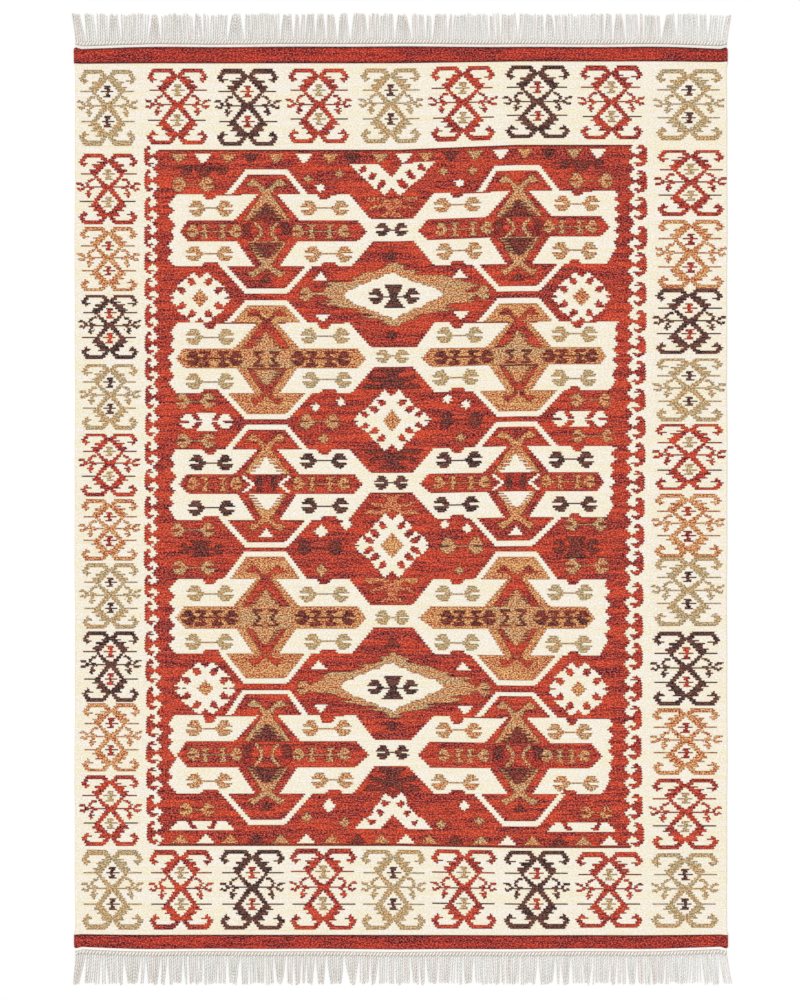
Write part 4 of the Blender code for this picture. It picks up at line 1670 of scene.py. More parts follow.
@dataclass
class WovenCloth:
    """The laid cloth: both faces of the weave and the rounded edge between them."""

    chart: Chart
    outline: ClothOutline = ClothOutline()
    top_inset: float = 0.0011
    shoulder_inset: float = 0.0003
    shoulder_height: float = 0.0023
    foot_inset: float = 0.0002
    foot_height: float = 0.0007
    corner_radius: float = 0.0065
    end_blend: float = 0.0600
    column_gap: float = 46.6
    column_room: float = 1.2
    merge: float = 0.55
    dovetail: float = 0.80
    tooth: float = 0.62
    stray: float = 0.15
    under_step: int = 4
    bake_margin: float = 0.10
    upper_flats: tuple[float, ...] = (0.0011, -0.0004, -0.0022, 0.0011)
    under_foot: float = -0.0006
    corner_columns: ClassVar[Sequence[float]] = (2.0, 4.5, 7.5, 11.0, 16.0, 22.0, 30.0, 60.0, 75.0)
    corner_lines: float = 26.0

    def metres(self, places: np.ndarray, inset: float) -> np.ndarray:
        """Turn chart places into the cloth's own metres.

        Args:
            places: Chart places, one a row.
            inset: How far the edge of this ring or face lies inside the cloth's outline.

        Returns:
            The x and y of each place.
        """
        chart = self.chart
        margin = inset / SQUARE
        x = np.clip(places[:, 0], chart.left + margin, chart.right - margin)
        y = np.clip(places[:, 1], chart.top + margin, chart.bottom - margin)
        outside_x = places[:, 0] - np.clip(places[:, 0], chart.left, chart.right)
        outside_y = places[:, 1] - np.clip(places[:, 1], chart.top, chart.bottom)
        x, y = self.round_corner(x + outside_x, y + outside_y)
        level = y + PULL.at(x, y)
        far = (CHART_CENTRE_Y - level) * SQUARE
        share = (x - chart.left) / (chart.right - chart.left)
        across = (1.0 - share) * self.outline.selvedge_x(far, -1) + share * self.outline.selvedge_x(far, 1)
        for end, edge in ((FAR_END, chart.top), (NEAR_END, chart.bottom)):
            flat_edge = (CHART_CENTRE_Y - edge) * SQUARE
            near = 1.0 - ramp(np.abs(far - flat_edge), 0.0, self.end_blend)
            far = far + near * (self.outline.end_y(across, end) - flat_edge)
        return np.stack([across, far], axis=1)

    def round_corner(self, x: np.ndarray, y: np.ndarray) -> tuple[np.ndarray, np.ndarray]:
        """Pull the places near a corner in, so that the corner is round.

        Args:
            x: The places' x.
            y: The places' y.

        Returns:
            The x and y of the places with the corners rounded.
        """
        chart = self.chart
        radius = self.corner_radius / SQUARE
        middle_x, middle_y = (chart.left + chart.right) / 2, (chart.top + chart.bottom) / 2
        half_x, half_y = (chart.right - chart.left) / 2 - radius, (chart.bottom - chart.top) / 2 - radius
        over_x = np.maximum(np.abs(x - middle_x) - half_x, 0.0)
        over_y = np.maximum(np.abs(y - middle_y) - half_y, 0.0)
        both = (over_x > 0.0) & (over_y > 0.0)
        length = np.hypot(over_x, over_y)
        shrink = np.where(both, np.maximum(over_x, over_y) / np.maximum(length, 1e-9), 1.0)
        x = np.where(both, middle_x + np.sign(x - middle_x) * (half_x + over_x * shrink), x)
        y = np.where(both, middle_y + np.sign(y - middle_y) * (half_y + over_y * shrink), y)
        return x, y

    def row_ends(self, row: int) -> Runs:
        """Return where a row's dye changes, and the dye of each run.

        Args:
            row: The row, counted from the far end.

        Returns:
            The places of the changes, and one dye more than places.
        """
        cells = self.chart.grid[row]
        cuts = [0, *(np.flatnonzero(np.diff(cells)) + 1).tolist(), len(cells)]
        places: list[float] = []
        dyes: list[int] = []
        for start, stop in zip(cuts, cuts[1:]):
            dye = int(cells[start])
            if dyes and (stop - start < 2 or dye == dyes[-1]):
                continue
            if dyes:
                places.append(self.chart.left + start * self.chart.cell_width)
            dyes.append(dye)
        return places, dyes

    def toothed(self, runs: list[Runs]) -> list[Runs]:
        """Shift the sloping ends of every other row, which gives a slope its comb of small teeth.

        Args:
            runs: Each row's changes and dyes.

        Returns:
            The same with the changes shifted.
        """
        moved = []
        for number, (cuts, dyes) in enumerate(runs):
            beside = [runs[k][0] for k in (number - 1, number + 1) if 0 <= k < len(runs)]
            way = self.tooth if number % 2 else -self.tooth
            shifted = []
            for k, cut in enumerate(cuts):
                upright = all(any(abs(cut - other) <= self.merge for other in row) for row in beside)
                room = min(
                    cut - (cuts[k - 1] if k else self.chart.left),
                    (cuts[k + 1] if k + 1 < len(cuts) else self.chart.right) - cut,
                )
                shifted.append(cut if upright else cut + way * min(room / 3.0, 1.0))
            moved.append((shifted, dyes))
        return moved

    def line(
        self, number: int, y: float, above: list[float], below: list[float], columns: list[float]
    ) -> Line:
        """Join the run ends of two neighbouring rows into the nodes of the line between them.

        Args:
            number: Which line this is, counted from the far end.
            y: The line's level on the chart.
            above: Where the dye changes in the row above.
            below: Where the dye changes in the row below.
            columns: Places that every line has a node at, if none is near.

        Returns:
            The line.
        """
        nodes: list[list[float]] = []
        a = b = 0
        while a < len(above) or b < len(below):
            up = above[a] if a < len(above) else math.inf
            down = below[b] if b < len(below) else math.inf
            if abs(up - down) <= self.merge:
                nodes.append([(up + down) / 2, a, b])
                a, b = a + 1, b + 1
            elif up < down:
                nodes.append([up, a, -1])
                a += 1
            else:
                nodes.append([down, -1, b])
                b += 1
        taken = [node[0] for node in nodes]
        for column in columns:
            spot = int(np.searchsorted(taken, column))
            near = [abs(column - taken[k]) for k in (spot - 1, spot) if 0 <= k < len(taken)]
            if not near or min(near) > self.column_room:
                nodes.append([column, -1, -1])
        left, right = self.chart.left, self.chart.right
        nodes = [[left, -1, -1], *sorted(nodes), [right, -1, -1]]
        x = np.array([node[0] for node in nodes])
        gaps = np.diff(x)
        room = np.minimum(gaps[:-1], gaps[1:])
        shared = np.array([node[1] >= 0 and node[2] >= 0 for node in nodes[1:-1]], dtype=float)
        tooth = self.dovetail * (1.0 if number % 2 else -1.0) * shared
        stray = np.array([even_noise(number * 1.7 + k * 3.1, 5.0) - 0.5 for k in range(len(room))])
        x[1:-1] += (tooth + 2.0 * self.stray * stray) * np.minimum(room / 3.0, 1.0)
        places_above = [k for k, node in enumerate(nodes) if node[1] >= 0]
        places_below = [k for k, node in enumerate(nodes) if node[2] >= 0]
        return Line(y, x, places_above, places_below)

    def layer(self, rows: Sequence[int], levels: Sequence[float]) -> Layer:
        """Triangulate one face of the cloth, run by run.

        Args:
            rows: The chart rows that this face shows.
            levels: The level of every line between them, one more than the rows.

        Returns:
            The face.
        """
        chart = self.chart
        wide = chart.right - chart.left
        count = int(wide / self.column_gap)
        columns = [chart.left + (k + 1) * wide / (count + 1) for k in range(count)]
        columns = sorted([*columns, PULL.starts_x, PULL.full_x])
        edges = [chart.left + c for c in self.corner_columns] + [chart.right - c for c in self.corner_columns]
        fine_columns = sorted([*columns, *edges])
        runs = self.toothed([self.row_ends(row) for row in rows])
        ends = [[], *(cuts for cuts, _ in runs), []]
        lines = []
        for number, level in enumerate(levels):
            near_end = min(level - chart.top, chart.bottom - level) < self.corner_lines
            nodes_at = fine_columns if near_end else columns
            lines.append(self.line(number, level, ends[number], ends[number + 1], nodes_at))
        face = Layer()
        firsts = []
        for line in lines:
            firsts.append(len(face.places))
            face.places += [(float(x), line.y) for x in line.x]
        for number, (cuts, dyes) in enumerate(runs):
            top, bottom = lines[number], lines[number + 1]
            upper = [0, *top.below, len(top.x) - 1]
            lower = [0, *bottom.above, len(bottom.x) - 1]
            row_above = runs[number - 1] if number else None
            row_below = runs[number + 1] if number + 1 < len(runs) else None
            change_up = self.changes(top, upper, dyes, row_above, True)
            change_down = self.changes(bottom, lower, dyes, row_below, False)
            for run, dye in enumerate(dyes):
                seams = (
                    Seam(top, firsts[number], (upper[run], upper[run + 1]), change_up),
                    Seam(bottom, firsts[number + 1], (lower[run], lower[run + 1]), change_down),
                )
                face.zip_run(*seams, dye)
        right = [firsts[k] + len(lines[k].x) - 1 for k in range(1, len(lines))]
        last = [firsts[-1] + k for k in range(len(lines[-1].x) - 2, -1, -1)]
        left = [firsts[k] for k in range(len(lines) - 2, 0, -1)]
        face.rim = [*range(len(lines[0].x)), *right, *last, *left]
        return face

    @staticmethod
    def changes(line: Line, own: list[int], dyes: list[int], other: Runs | None, up: bool) -> np.ndarray:
        """Return for each stretch of a line whether the dye changes across it.

        Args:
            line: The line.
            own: Where the row's own runs start and end among the line's nodes.
            dyes: The dyes of those runs.
            other: The row on the other side of the line, if there is one.
            up: Whether that row lies above.

        Returns:
            One for a change and zero for none.
        """
        if other is None:
            return np.zeros(len(line.x) - 1)
        theirs = [0, *(line.above if up else line.below), len(line.x) - 1]
        mine = np.repeat(dyes, np.diff(own))
        far = np.repeat(other[1], np.diff(theirs))
        return (mine != far).astype(float)

    def around(self, places: np.ndarray) -> np.ndarray:
        """Return how far round the cloth's edge each place is, from the far left corner, clockwise.

        Args:
            places: Places on the edge, one a row.

        Returns:
            Each place's distance, in squares.
        """
        chart = self.chart
        wide, tall = chart.right - chart.left, chart.bottom - chart.top
        x, y = places[:, 0] - chart.left, places[:, 1] - chart.top
        return np.select(
            [y <= 1e-6, x >= wide - 1e-6, y >= tall - 1e-6],
            [x, wide + y, wide + tall + (wide - x)],
            2 * wide + tall + (tall - y),
        )

    def band(self, face: Layer, outer: list[int], inner: list[int], places: np.ndarray) -> None:
        """Join two rings of as many points round the cloth's edge, dyed as at the given places.

        Args:
            face: The face that takes the triangles.
            outer: The points of one ring.
            inner: The points of the other.
            places: The place that gives each dye.
        """
        for k, place in enumerate(places):
            nxt = (k + 1) % len(places)
            dye = self.edge_dye(place)
            face.add((outer[k], outer[nxt], inner[nxt]), dye)
            face.add((outer[k], inner[nxt], inner[k]), dye)

    def skirt(
        self, face: Layer, shoulder: list[int], foot: list[int], fine: np.ndarray, coarse: np.ndarray
    ) -> None:
        """Join the finely divided shoulder of the edge to its coarser foot.

        Args:
            face: The face that takes the triangles.
            shoulder: The points of the shoulder.
            foot: The points of the foot.
            fine: The shoulder's chart places.
            coarse: The foot's chart places.
        """
        last = (1e6, math.inf)
        fine_t, coarse_t = [*self.around(fine), *last], [*self.around(coarse), *last]
        p = q = 0
        while p < len(fine) or q < len(coarse):
            here, below = shoulder[p % len(fine)], foot[q % len(coarse)]
            dye = self.edge_dye(fine[p % len(fine)])
            if fine_t[p + 1] <= coarse_t[q + 1]:
                p += 1
                face.add((here, shoulder[p % len(fine)], below), dye)
            else:
                q += 1
                face.add((here, foot[q % len(coarse)], below), dye)

    def edge_dye(self, place: np.ndarray) -> int:
        """Return the dye of the chart's cell at a place on the edge.

        Args:
            place: The chart place.

        Returns:
            The dye's number.
        """
        chart = self.chart
        row = min(max(int((place[1] - chart.top) / chart.row_height), 0), chart.rows - 1)
        return int(chart.grid[row, 0 if place[0] < CHART_CENTRE_X else chart.cells - 1])

    def build(self, name: str, finishes: Sequence[bpy.types.Material]) -> bpy.types.Object:
        """Make the cloth.

        Args:
            name: The new object's name.
            finishes: One material for each dye, in the order of Dye.

        Returns:
            The cloth, as one closed mesh.
        """
        chart = self.chart
        levels = [chart.top + k * chart.row_height for k in range(chart.rows + 1)]
        cloth = self.layer(range(chart.rows), levels)
        upper_faces = len(cloth.triangles)
        step = self.under_step
        coarse_rows = [min(k + step // 2, chart.rows - 1) for k in range(0, chart.rows, step)]
        under = self.layer(coarse_rows, [*levels[: chart.rows : step], levels[-1]])

        upper, lower = np.array(cloth.places), np.array(under.places)
        fine, coarse = upper[cloth.rim], lower[under.rim]
        rings = (
            (upper, self.top_inset, CLOTH_THICK), (fine, self.shoulder_inset, self.shoulder_height),
            (coarse, self.foot_inset, self.foot_height), (lower, self.top_inset, 0.0),
        )
        points = np.concatenate([
            np.column_stack([self.metres(places, inset), np.full(len(places), height)])
            for places, inset, height in rings
        ])
        starts = np.cumsum([len(places) for places, _, _ in rings]).tolist()
        shoulder = [starts[0] + k for k in range(len(fine))]
        foot = [starts[1] + k for k in range(len(coarse))]
        self.band(cloth, cloth.rim, shoulder, (fine + np.roll(fine, -1, axis=0)) / 2)
        self.skirt(cloth, shoulder, foot, fine, coarse)
        skirt_end = len(cloth.triangles)
        self.band(cloth, foot, [starts[2] + k for k in under.rim], coarse)
        cloth.add_turned(under, starts[2])

        mesh = mesh_from_triangles(name, points, np.array(cloth.triangles, dtype=np.int32))
        mesh.polygons.foreach_set("material_index", np.array(cloth.dyes, dtype=np.int32))
        for label, values in (("reach", cloth.reach), ("border", cloth.border)):
            layer = mesh.attributes.new(label, "FLOAT_VECTOR", "CORNER")
            layer.data.foreach_set("vector", np.array(values, dtype=np.float32).ravel())
        self.lay_out(mesh, (upper, fine, coarse, lower), skirt_end)
        for finish in finishes:
            mesh.materials.append(finish)
        LOG.info("%s: %d triangles, %d on its upper face", name, len(cloth.triangles), upper_faces)
        return add_object(name, mesh)

    def lay_out(self, mesh: bpy.types.Mesh, rings: Sequence[np.ndarray], skirt_end: int) -> None:
        """Lay both faces out flat, side by side, each with its share of the edge unrolled round it.

        Args:
            mesh: The cloth's mesh.
            rings: The chart places of the upper face, the shoulder, the foot and the under face.
            skirt_end: The first face that is laid out with the under face.
        """
        scale = 1.0 / (2.0 * CLOTH_WIDTH + self.bake_margin)
        flats = [self.metres(places, inset) for places, inset in zip(rings, self.upper_flats)]
        under_flats = [*flats[:2], self.metres(rings[2], self.under_foot), flats[3]]
        corners = np.zeros(len(mesh.loops), dtype=np.int32)
        mesh.loops.foreach_get("vertex_index", corners)
        on_top = np.arange(len(corners)) < 3 * skirt_end
        turned = np.concatenate(under_flats)[corners] * (-1.0, 1.0)
        flat = np.where(on_top[:, None], np.concatenate(flats)[corners], turned)
        shift = np.where(on_top, CLOTH_WIDTH / 2 + 0.02, CLOTH_WIDTH * 1.5 + 0.07)
        across = (flat[:, 0] + shift) * scale
        along = (flat[:, 1] + CLOTH_LENGTH / 2 + 0.02) * scale
        layer = mesh.uv_layers.new(name="OFBake")
        layer.data.foreach_set("uv", np.stack([across, along], axis=1).astype(np.float32).ravel())


def mesh_from_triangles(name: str, points: np.ndarray, triangles: np.ndarray) -> bpy.types.Mesh:
    """Return a mesh of the given points and triangles.

    Args:
        name: The mesh's name.
        points: The points, in metres.
        triangles: Three points a row.

    Returns:
        The mesh.
    """
    mesh = bpy.data.meshes.new(name)
    mesh.vertices.add(len(points))
    mesh.vertices.foreach_set("co", points.astype(np.float32).ravel())
    mesh.loops.add(3 * len(triangles))
    mesh.loops.foreach_set("vertex_index", triangles.ravel())
    mesh.polygons.add(len(triangles))
    mesh.polygons.foreach_set("loop_start", np.arange(0, 3 * len(triangles), 3, dtype=np.int32))
    mesh.update(calc_edges=True)
    mesh.shade_flat()
    return mesh


def add_object(name: str, data: bpy.types.ID | None) -> bpy.types.Object:
    """Return a new object that shows data, linked to the scene.

    Args:
        name: The object's name.
        data: What it shows.

    Returns:
        The object.
    """
    item = bpy.data.objects.new(name, data)
    bpy.context.scene.collection.objects.link(item)
    return item


# --------------------------------------------------------------------------- finishes


def linear(red: float, green: float, blue: float) -> Colour:
    """Turn a colour as a screen shows it, from 0 to 255, into linear light."""
    shares = (red / 255.0, green / 255.0, blue / 255.0)
    return tuple(s / 12.92 if s <= 0.04045 else ((s + 0.055) / 1.055) ** 2.4 for s in shares)


class Shader:
    """A material under construction: short names for the nodes that the finishes use."""

    def __init__(self, name: str) -> None:
        """Start an empty material.

        Args:
            name: The material's name.
        """
        self.material = bpy.data.materials.new(name)
        self.material.use_nodes = True
        self.tree = self.material.node_tree
        self.tree.nodes.clear()
        self.output = self.tree.nodes.new("ShaderNodeOutputMaterial")
        self.surface = self.tree.nodes.new("ShaderNodeBsdfPrincipled")
        self.tree.links.new(self.surface.outputs["BSDF"], self.output.inputs["Surface"])
        self.place = self.tree.nodes.new("ShaderNodeTexCoord").outputs["Object"]

    def join(self, source: Socket | float | tuple, target: Socket) -> None:
        """Link a socket to another, or set a plain value on it.

        Args:
            source: A socket or a plain value.
            target: The socket that takes it.
        """
        if isinstance(source, Socket):
            self.tree.links.new(source, target)
        else:
            target.default_value = source

    def sums(self, operation: str, *values: Socket | float) -> Socket:
        """Return the result of a Math node.

        Args:
            operation: The node's operation.
            values: Its inputs.

        Returns:
            The node's result.
        """
        node = self.tree.nodes.new("ShaderNodeMath")
        node.operation = operation
        for value, socket in zip(values, node.inputs):
            self.join(value, socket)
        return node.outputs[0]

    def noise(
        self, scale: Colour, detail: float = 1.0, roughness: float = 0.5, seed: float = 0.0
    ) -> Socket:
        """Return noise.

        Args:
            scale: How many grains a metre holds along each axis.
            detail: How many finer layers are added.
            roughness: How strong the finer layers are.
            seed: How far the noise is moved, so that two of them differ.

        Returns:
            A value round 0.5.
        """
        mapping = self.tree.nodes.new("ShaderNodeMapping")
        mapping.inputs["Scale"].default_value = scale
        mapping.inputs["Location"].default_value = (seed, 2.7 * seed, 1.3 * seed)
        self.join(self.place, mapping.inputs["Vector"])
        node = self.tree.nodes.new("ShaderNodeTexNoise")
        node.inputs["Scale"].default_value = 1.0
        node.inputs["Detail"].default_value = detail
        node.inputs["Roughness"].default_value = roughness
        self.join(mapping.outputs["Vector"], node.inputs["Vector"])
        return node.outputs["Fac"]

    def spread(
        self, value: Socket, low: float, high: float, bottom: float = 0.0, top: float = 1.0
    ) -> Socket:
        """Return value stretched from (low, high) to (bottom, top) and clamped.

        Args:
            value: The value to stretch.
            low: Where the stretch starts.
            high: Where it ends.
            bottom: What low becomes.
            top: What high becomes.

        Returns:
            The stretched value.
        """
        node = self.tree.nodes.new("ShaderNodeMapRange")
        node.clamp = True
        for number, source in enumerate((value, low, high, bottom, top)):
            self.join(source, node.inputs[number])
        return node.outputs[0]

    def blend(
        self, share: Socket | float, first: Socket | Colour, second: Socket | Colour, kind: str = "MIX"
    ) -> Socket:
        """Mix two colours.

        Args:
            share: How much of the second colour comes in.
            first: The first colour.
            second: The second colour.
            kind: MIX to pass from one to the other, ADD or SUBTRACT to change the first by the second.

        Returns:
            The mixed colour.
        """
        node = self.tree.nodes.new("ShaderNodeMix")
        node.data_type = "RGBA"
        node.blend_type = kind
        node.clamp_result = True
        self.join(share, node.inputs["Factor"])
        colours = [socket for socket in node.inputs if socket.type == "RGBA"]
        for source, socket in zip((first, second), colours):
            self.join(source if isinstance(source, Socket) else (*source, 1.0), socket)
        return next(socket for socket in node.outputs if socket.type == "RGBA")

    def axes(self, vector: Socket) -> bpy.types.NodeOutputs:
        """Return the three parts of a vector.

        Args:
            vector: The vector.

        Returns:
            Its X, Y and Z.
        """
        node = self.tree.nodes.new("ShaderNodeSeparateXYZ")
        self.join(vector, node.inputs[0])
        return node.outputs

    def attribute(self, name: str) -> bpy.types.Node:
        """Return an attribute of the mesh.

        Args:
            name: The attribute's name.

        Returns:
            The node that reads it.
        """
        node = self.tree.nodes.new("ShaderNodeAttribute")
        node.attribute_name = name
        return node

    def relief(self, height: Socket, depth: float) -> None:
        """Turn a height from 0 to 1 into bump of the given depth in metres.

        Args:
            height: The height.
            depth: The depth of the bump.
        """
        node = self.tree.nodes.new("ShaderNodeBump")
        node.inputs["Strength"].default_value = 1.0
        node.inputs["Distance"].default_value = depth
        self.join(height, node.inputs["Height"])
        self.join(node.outputs["Normal"], self.surface.inputs["Normal"])


@dataclass(frozen=True)
class WoolFinish:
    """Hand-spun wool in one dye: heathered fibres, streaks of other dye lots, ribs of the warp.

    The colours, as a screen shows them, are the dye itself, two other dye lots that come in
    streaks along the weft, stray flecks, pale and dark specks that are heather and also painted
    light and shade of the weave's relief, and painted shade in the slits and along the comb teeth
    at the edge of an area.
    """

    name: str
    base: Screen
    lots: tuple[Screen, Screen]
    fleck: Screen
    # Colour of the painted shade in the slits and along the comb teeth at a change of dye.
    line: Screen = (64, 20, 20)
    # Size of the pale and dark specks, in screen steps: heathered fibres and painted light and shade of the
    # weave's relief.
    heather_and_painted_relief: float = 58.0
    pallor: float = 1.25
    flecks: float = 0.3
    # Strength of that painted shade at a change of dye.
    lining: float = 0.85
    warp_pitch: float = 0.0036
    pick_pitch: float = 0.0017
    # Reach of the painted slit shade from a run's end, in millimetres.
    slit: float = 1.6
    relief: float = 0.0005
    brightest: float = 253.0
    darkest: float = 2.0
    dash_scale: ClassVar[Colour] = (210.0, 330.0, 1.0)
    fibre_scale: ClassVar[Colour] = (330.0, 430.0, 2.0)
    fleck_scale: ClassVar[Colour] = (230.0, 330.0, 7.0)
    # Each layer of streaks: its scale, how soft its edges are and how much of the dye lot it shows.
    streak_layers: ClassVar[Sequence[tuple[Colour, float, float]]] = (
        ((9.0, 26.0, 1.0), 0.05, 0.80), ((3.0, 75.0, 5.0), 0.06, 0.60), ((22.0, 240.0, 9.0), 0.08, 0.55),
    )

    def step(self, way: int) -> Colour:
        """Return how much a pale speck adds to the dye, or a dark one takes from it: heathered fibres
        and painted light and shade of the weave's relief. Pale specks are less red.

        Args:
            way: 1 for pale specks, -1 for dark ones.

        Returns:
            The change in linear light.
        """
        pale = self.heather_and_painted_relief * (self.pallor if way > 0 else 1.0)
        moved = (
            min(max(part + way * size, self.darkest), self.brightest)
            for part, size in zip(self.base, (self.heather_and_painted_relief, pale, pale))
        )
        return tuple(abs(far - near) for far, near in zip(linear(*moved), linear(*self.base)))

    def material(self) -> bpy.types.Material:
        """Return the finish as a material.

        Returns:
            The material.
        """
        shader = Shader(self.name)
        colour = linear(*self.base)
        light, dark = (linear(*lot) for lot in self.lots)
        for scale, rise, share in self.streak_layers:
            lot = shader.noise(scale, 2.0, 0.6, 3.1 * scale[2])
            colour = shader.blend(shader.spread(lot, 0.50, 0.50 + rise, 0.0, share), colour, light)
            colour = shader.blend(shader.spread(lot, 0.50, 0.50 - rise, 0.0, share), colour, dark)
        dashes = shader.noise(self.dash_scale)
        fibres = shader.noise(self.fibre_scale)
        # Pale and dark specks: heathered fibres, and painted light and shade of the weave's relief.
        heather_and_painted_relief = shader.sums("MULTIPLY", dashes, 0.60)
        heather_and_painted_relief = shader.sums("ADD", heather_and_painted_relief, shader.sums("MULTIPLY", fibres, 0.40))
        spots = shader.spread(shader.noise(self.fleck_scale, seed=5.0), 0.54, 0.62, 0.0, self.flecks)
        colour = shader.blend(spots, colour, linear(*self.fleck))
        # Darker specks, then paler ones: painted shade and light of the relief over the heather.
        colour = shader.blend(shader.spread(heather_and_painted_relief, 0.50, 0.42), colour, self.step(-1), "SUBTRACT")
        colour = shader.blend(shader.spread(heather_and_painted_relief, 0.50, 0.58), colour, self.step(1), "ADD")
        # Painted shade in the slits and along the comb teeth at each change of dye.
        colour = shader.blend(self.outline(shader), colour, linear(*self.line))
        shader.join(colour, shader.surface.inputs["Base Color"])
        shader.join(shader.spread(fibres, 0.3, 0.7, 0.86, 0.97), shader.surface.inputs["Roughness"])
        shader.surface.inputs["Specular IOR Level"].default_value = 0.18
        shader.surface.inputs["Sheen Weight"].default_value = 0.08
        shader.surface.inputs["Sheen Roughness"].default_value = 0.5
        shader.relief(self.ribs(shader, fibres), self.relief)
        return shader.material

    def outline(self, shader: Shader) -> Socket:
        """Return the painted shade at a change of dye: in the slits beside an edge, and as darker comb teeth
        above and below.

        Args:
            shader: The material under construction.

        Returns:
            The share of painted shade, from 0 to 1.
        """
        reach = shader.axes(shader.attribute("reach").outputs["Vector"])
        border = shader.axes(shader.attribute("border").outputs["Vector"])
        # Painted slit shade near a run's end, and darker comb teeth where the row above or below has another
        # dye.
        beside = shader.spread(shader.sums("MINIMUM", reach[0], reach[1]), self.slit, 0.0, 0.0, 1.0)
        x = shader.axes(shader.place)[0]
        wave = shader.sums("COSINE", shader.sums("MULTIPLY", x, 2.0 * math.pi / self.warp_pitch))
        teeth = shader.spread(wave, -0.6, 0.6, 0.35, 1.0)
        across = shader.spread(shader.sums("MAXIMUM", border[0], border[1]), 0.25, 0.85)
        comb = shader.sums("MULTIPLY", teeth, across)
        return shader.sums("MULTIPLY", shader.sums("MAXIMUM", beside, comb), self.lining)

    def ribs(self, shader: Shader, fibres: Socket) -> Socket:
        """Return the height of the weave: picks of weft that pass over every other warp.

        Args:
            shader: The material under construction.
            fibres: The noise of the fibres.

        Returns:
            The height, from 0 to about 1.
        """
        parts = shader.axes(shader.place)
        warp = shader.sums("COSINE", shader.sums("MULTIPLY", parts[0], 2.0 * math.pi / self.warp_pitch))
        pick = shader.sums("COSINE", shader.sums("MULTIPLY", parts[1], 2.0 * math.pi / self.pick_pitch))
        weave = shader.sums("MULTIPLY", shader.sums("MULTIPLY", warp, pick), 0.25)
        weave = shader.sums("ADD", weave, 0.5)
        return shader.sums("ADD", weave, shader.sums("MULTIPLY", fibres, 0.35))


# Each wool's line colour is its painted shade at a change of dye, and lining is that shade's strength.
WOOLS: dict[Dye, WoolFinish] = {
    Dye.CREAM: WoolFinish(
        "undyed_wool", base=(247, 236, 217), lots=((246, 234, 204), (248, 238, 228)), fleck=(228, 212, 180),
        line=(196, 160, 130), heather_and_painted_relief=11.0, flecks=0.18, lining=0.40,
    ),
    Dye.RED: WoolFinish(
        "madder_red_wool", base=(150, 10, 2), lots=((204, 58, 14), (116, 2, 12)), fleck=(210, 96, 70),
        pallor=1.45,
    ),
    Dye.ORANGE: WoolFinish(
        "ochre_orange_wool", base=(194, 126, 72), lots=((182, 94, 50), (208, 148, 88)), fleck=(182, 70, 44),
        line=(120, 64, 36),
    ),
    Dye.TAN: WoolFinish(
        "khaki_tan_wool", base=(190, 132, 86), lots=((200, 122, 68), (180, 142, 98)), fleck=(184, 96, 60),
        line=(110, 70, 44),
    ),
    Dye.DARK: WoolFinish(
        "dark_walnut_wool", base=(72, 34, 28), lots=((108, 58, 46), (48, 18, 18)), fleck=(130, 84, 70),
        line=(34, 18, 18), heather_and_painted_relief=44.0, lining=0.5,
    ),
    Dye.BROWN: WoolFinish(
        "brown_wool", base=(94, 32, 22), lots=((128, 40, 26), (74, 26, 26)), fleck=(176, 72, 52),
        line=(44, 12, 14), heather_and_painted_relief=46.0, flecks=0.4, lining=0.5,
    ),
    Dye.CRIMSON: WoolFinish(
        "crimson_wool", base=(146, 8, 2), lots=((184, 42, 10), (112, 2, 10)), fleck=(192, 74, 54),
        pallor=1.4,
    ),
    Dye.KHAKI: WoolFinish(
        "khaki_wool", base=(184, 152, 108), lots=((192, 146, 96), (172, 150, 112)), fleck=(196, 160, 124),
        line=(120, 92, 60), heather_and_painted_relief=44.0,
    ),
    Dye.RUST: WoolFinish(
        "rust_wool", base=(194, 102, 58), lots=((206, 130, 74), (176, 66, 38)), fleck=(170, 48, 30),
        line=(120, 50, 30), flecks=0.7,
    ),
}


@dataclass(frozen=True)
class CottonFinish:
    """Undyed cotton warp: soft, matt, each strand a slightly different shade."""

    name: str = "cotton_warp"
    base: Colour = linear(253, 251, 246)
    shade: Colour = linear(236, 228, 218)
    tint: Colour = linear(238, 236, 222)
    blush: Colour = linear(246, 230, 222)
    # Painted shade between the knots, given to the third rail of the heading under them.
    knot_gap_shade: Colour = linear(196, 186, 174)

    def material(self) -> bpy.types.Material:
        """Return the finish as a material.

        Returns:
            The material.
        """
        shader = Shader(self.name)
        tint = shader.attribute("tint").outputs["Fac"]
        colour = shader.blend(shader.spread(tint, 0.45, 0.0, 0.0, 0.8), self.base, self.tint)
        colour = shader.blend(shader.spread(tint, 0.55, 1.0, 0.0, 0.8), colour, self.blush)
        # Tints above 1, only the third rail's, take the painted shade between the knots.
        colour = shader.blend(shader.spread(tint, 1.1, 2.0), colour, self.knot_gap_shade)
        fluff = shader.noise((1500.0, 420.0, 900.0), 2.0)
        clumps = shader.noise((260.0, 70.0, 200.0), 2.0)
        colour = shader.blend(shader.spread(clumps, 0.5, 0.3, 0.0, 0.6), colour, self.shade)
        shader.join(colour, shader.surface.inputs["Base Color"])
        shader.join(shader.spread(fluff, 0.3, 0.7, 0.8, 0.95), shader.surface.inputs["Roughness"])
        shader.surface.inputs["Specular IOR Level"].default_value = 0.2
        shader.surface.inputs["Sheen Weight"].default_value = 0.1
        shader.relief(fluff, 0.0001)
        return shader.material


# --------------------------------------------------------------------------- fringe


class Guide(Enum):
    """What a guide of the fringe becomes. The value is the guide's kind attribute."""

    CORD = 0
    RAIL = 1
    KNOT = 2


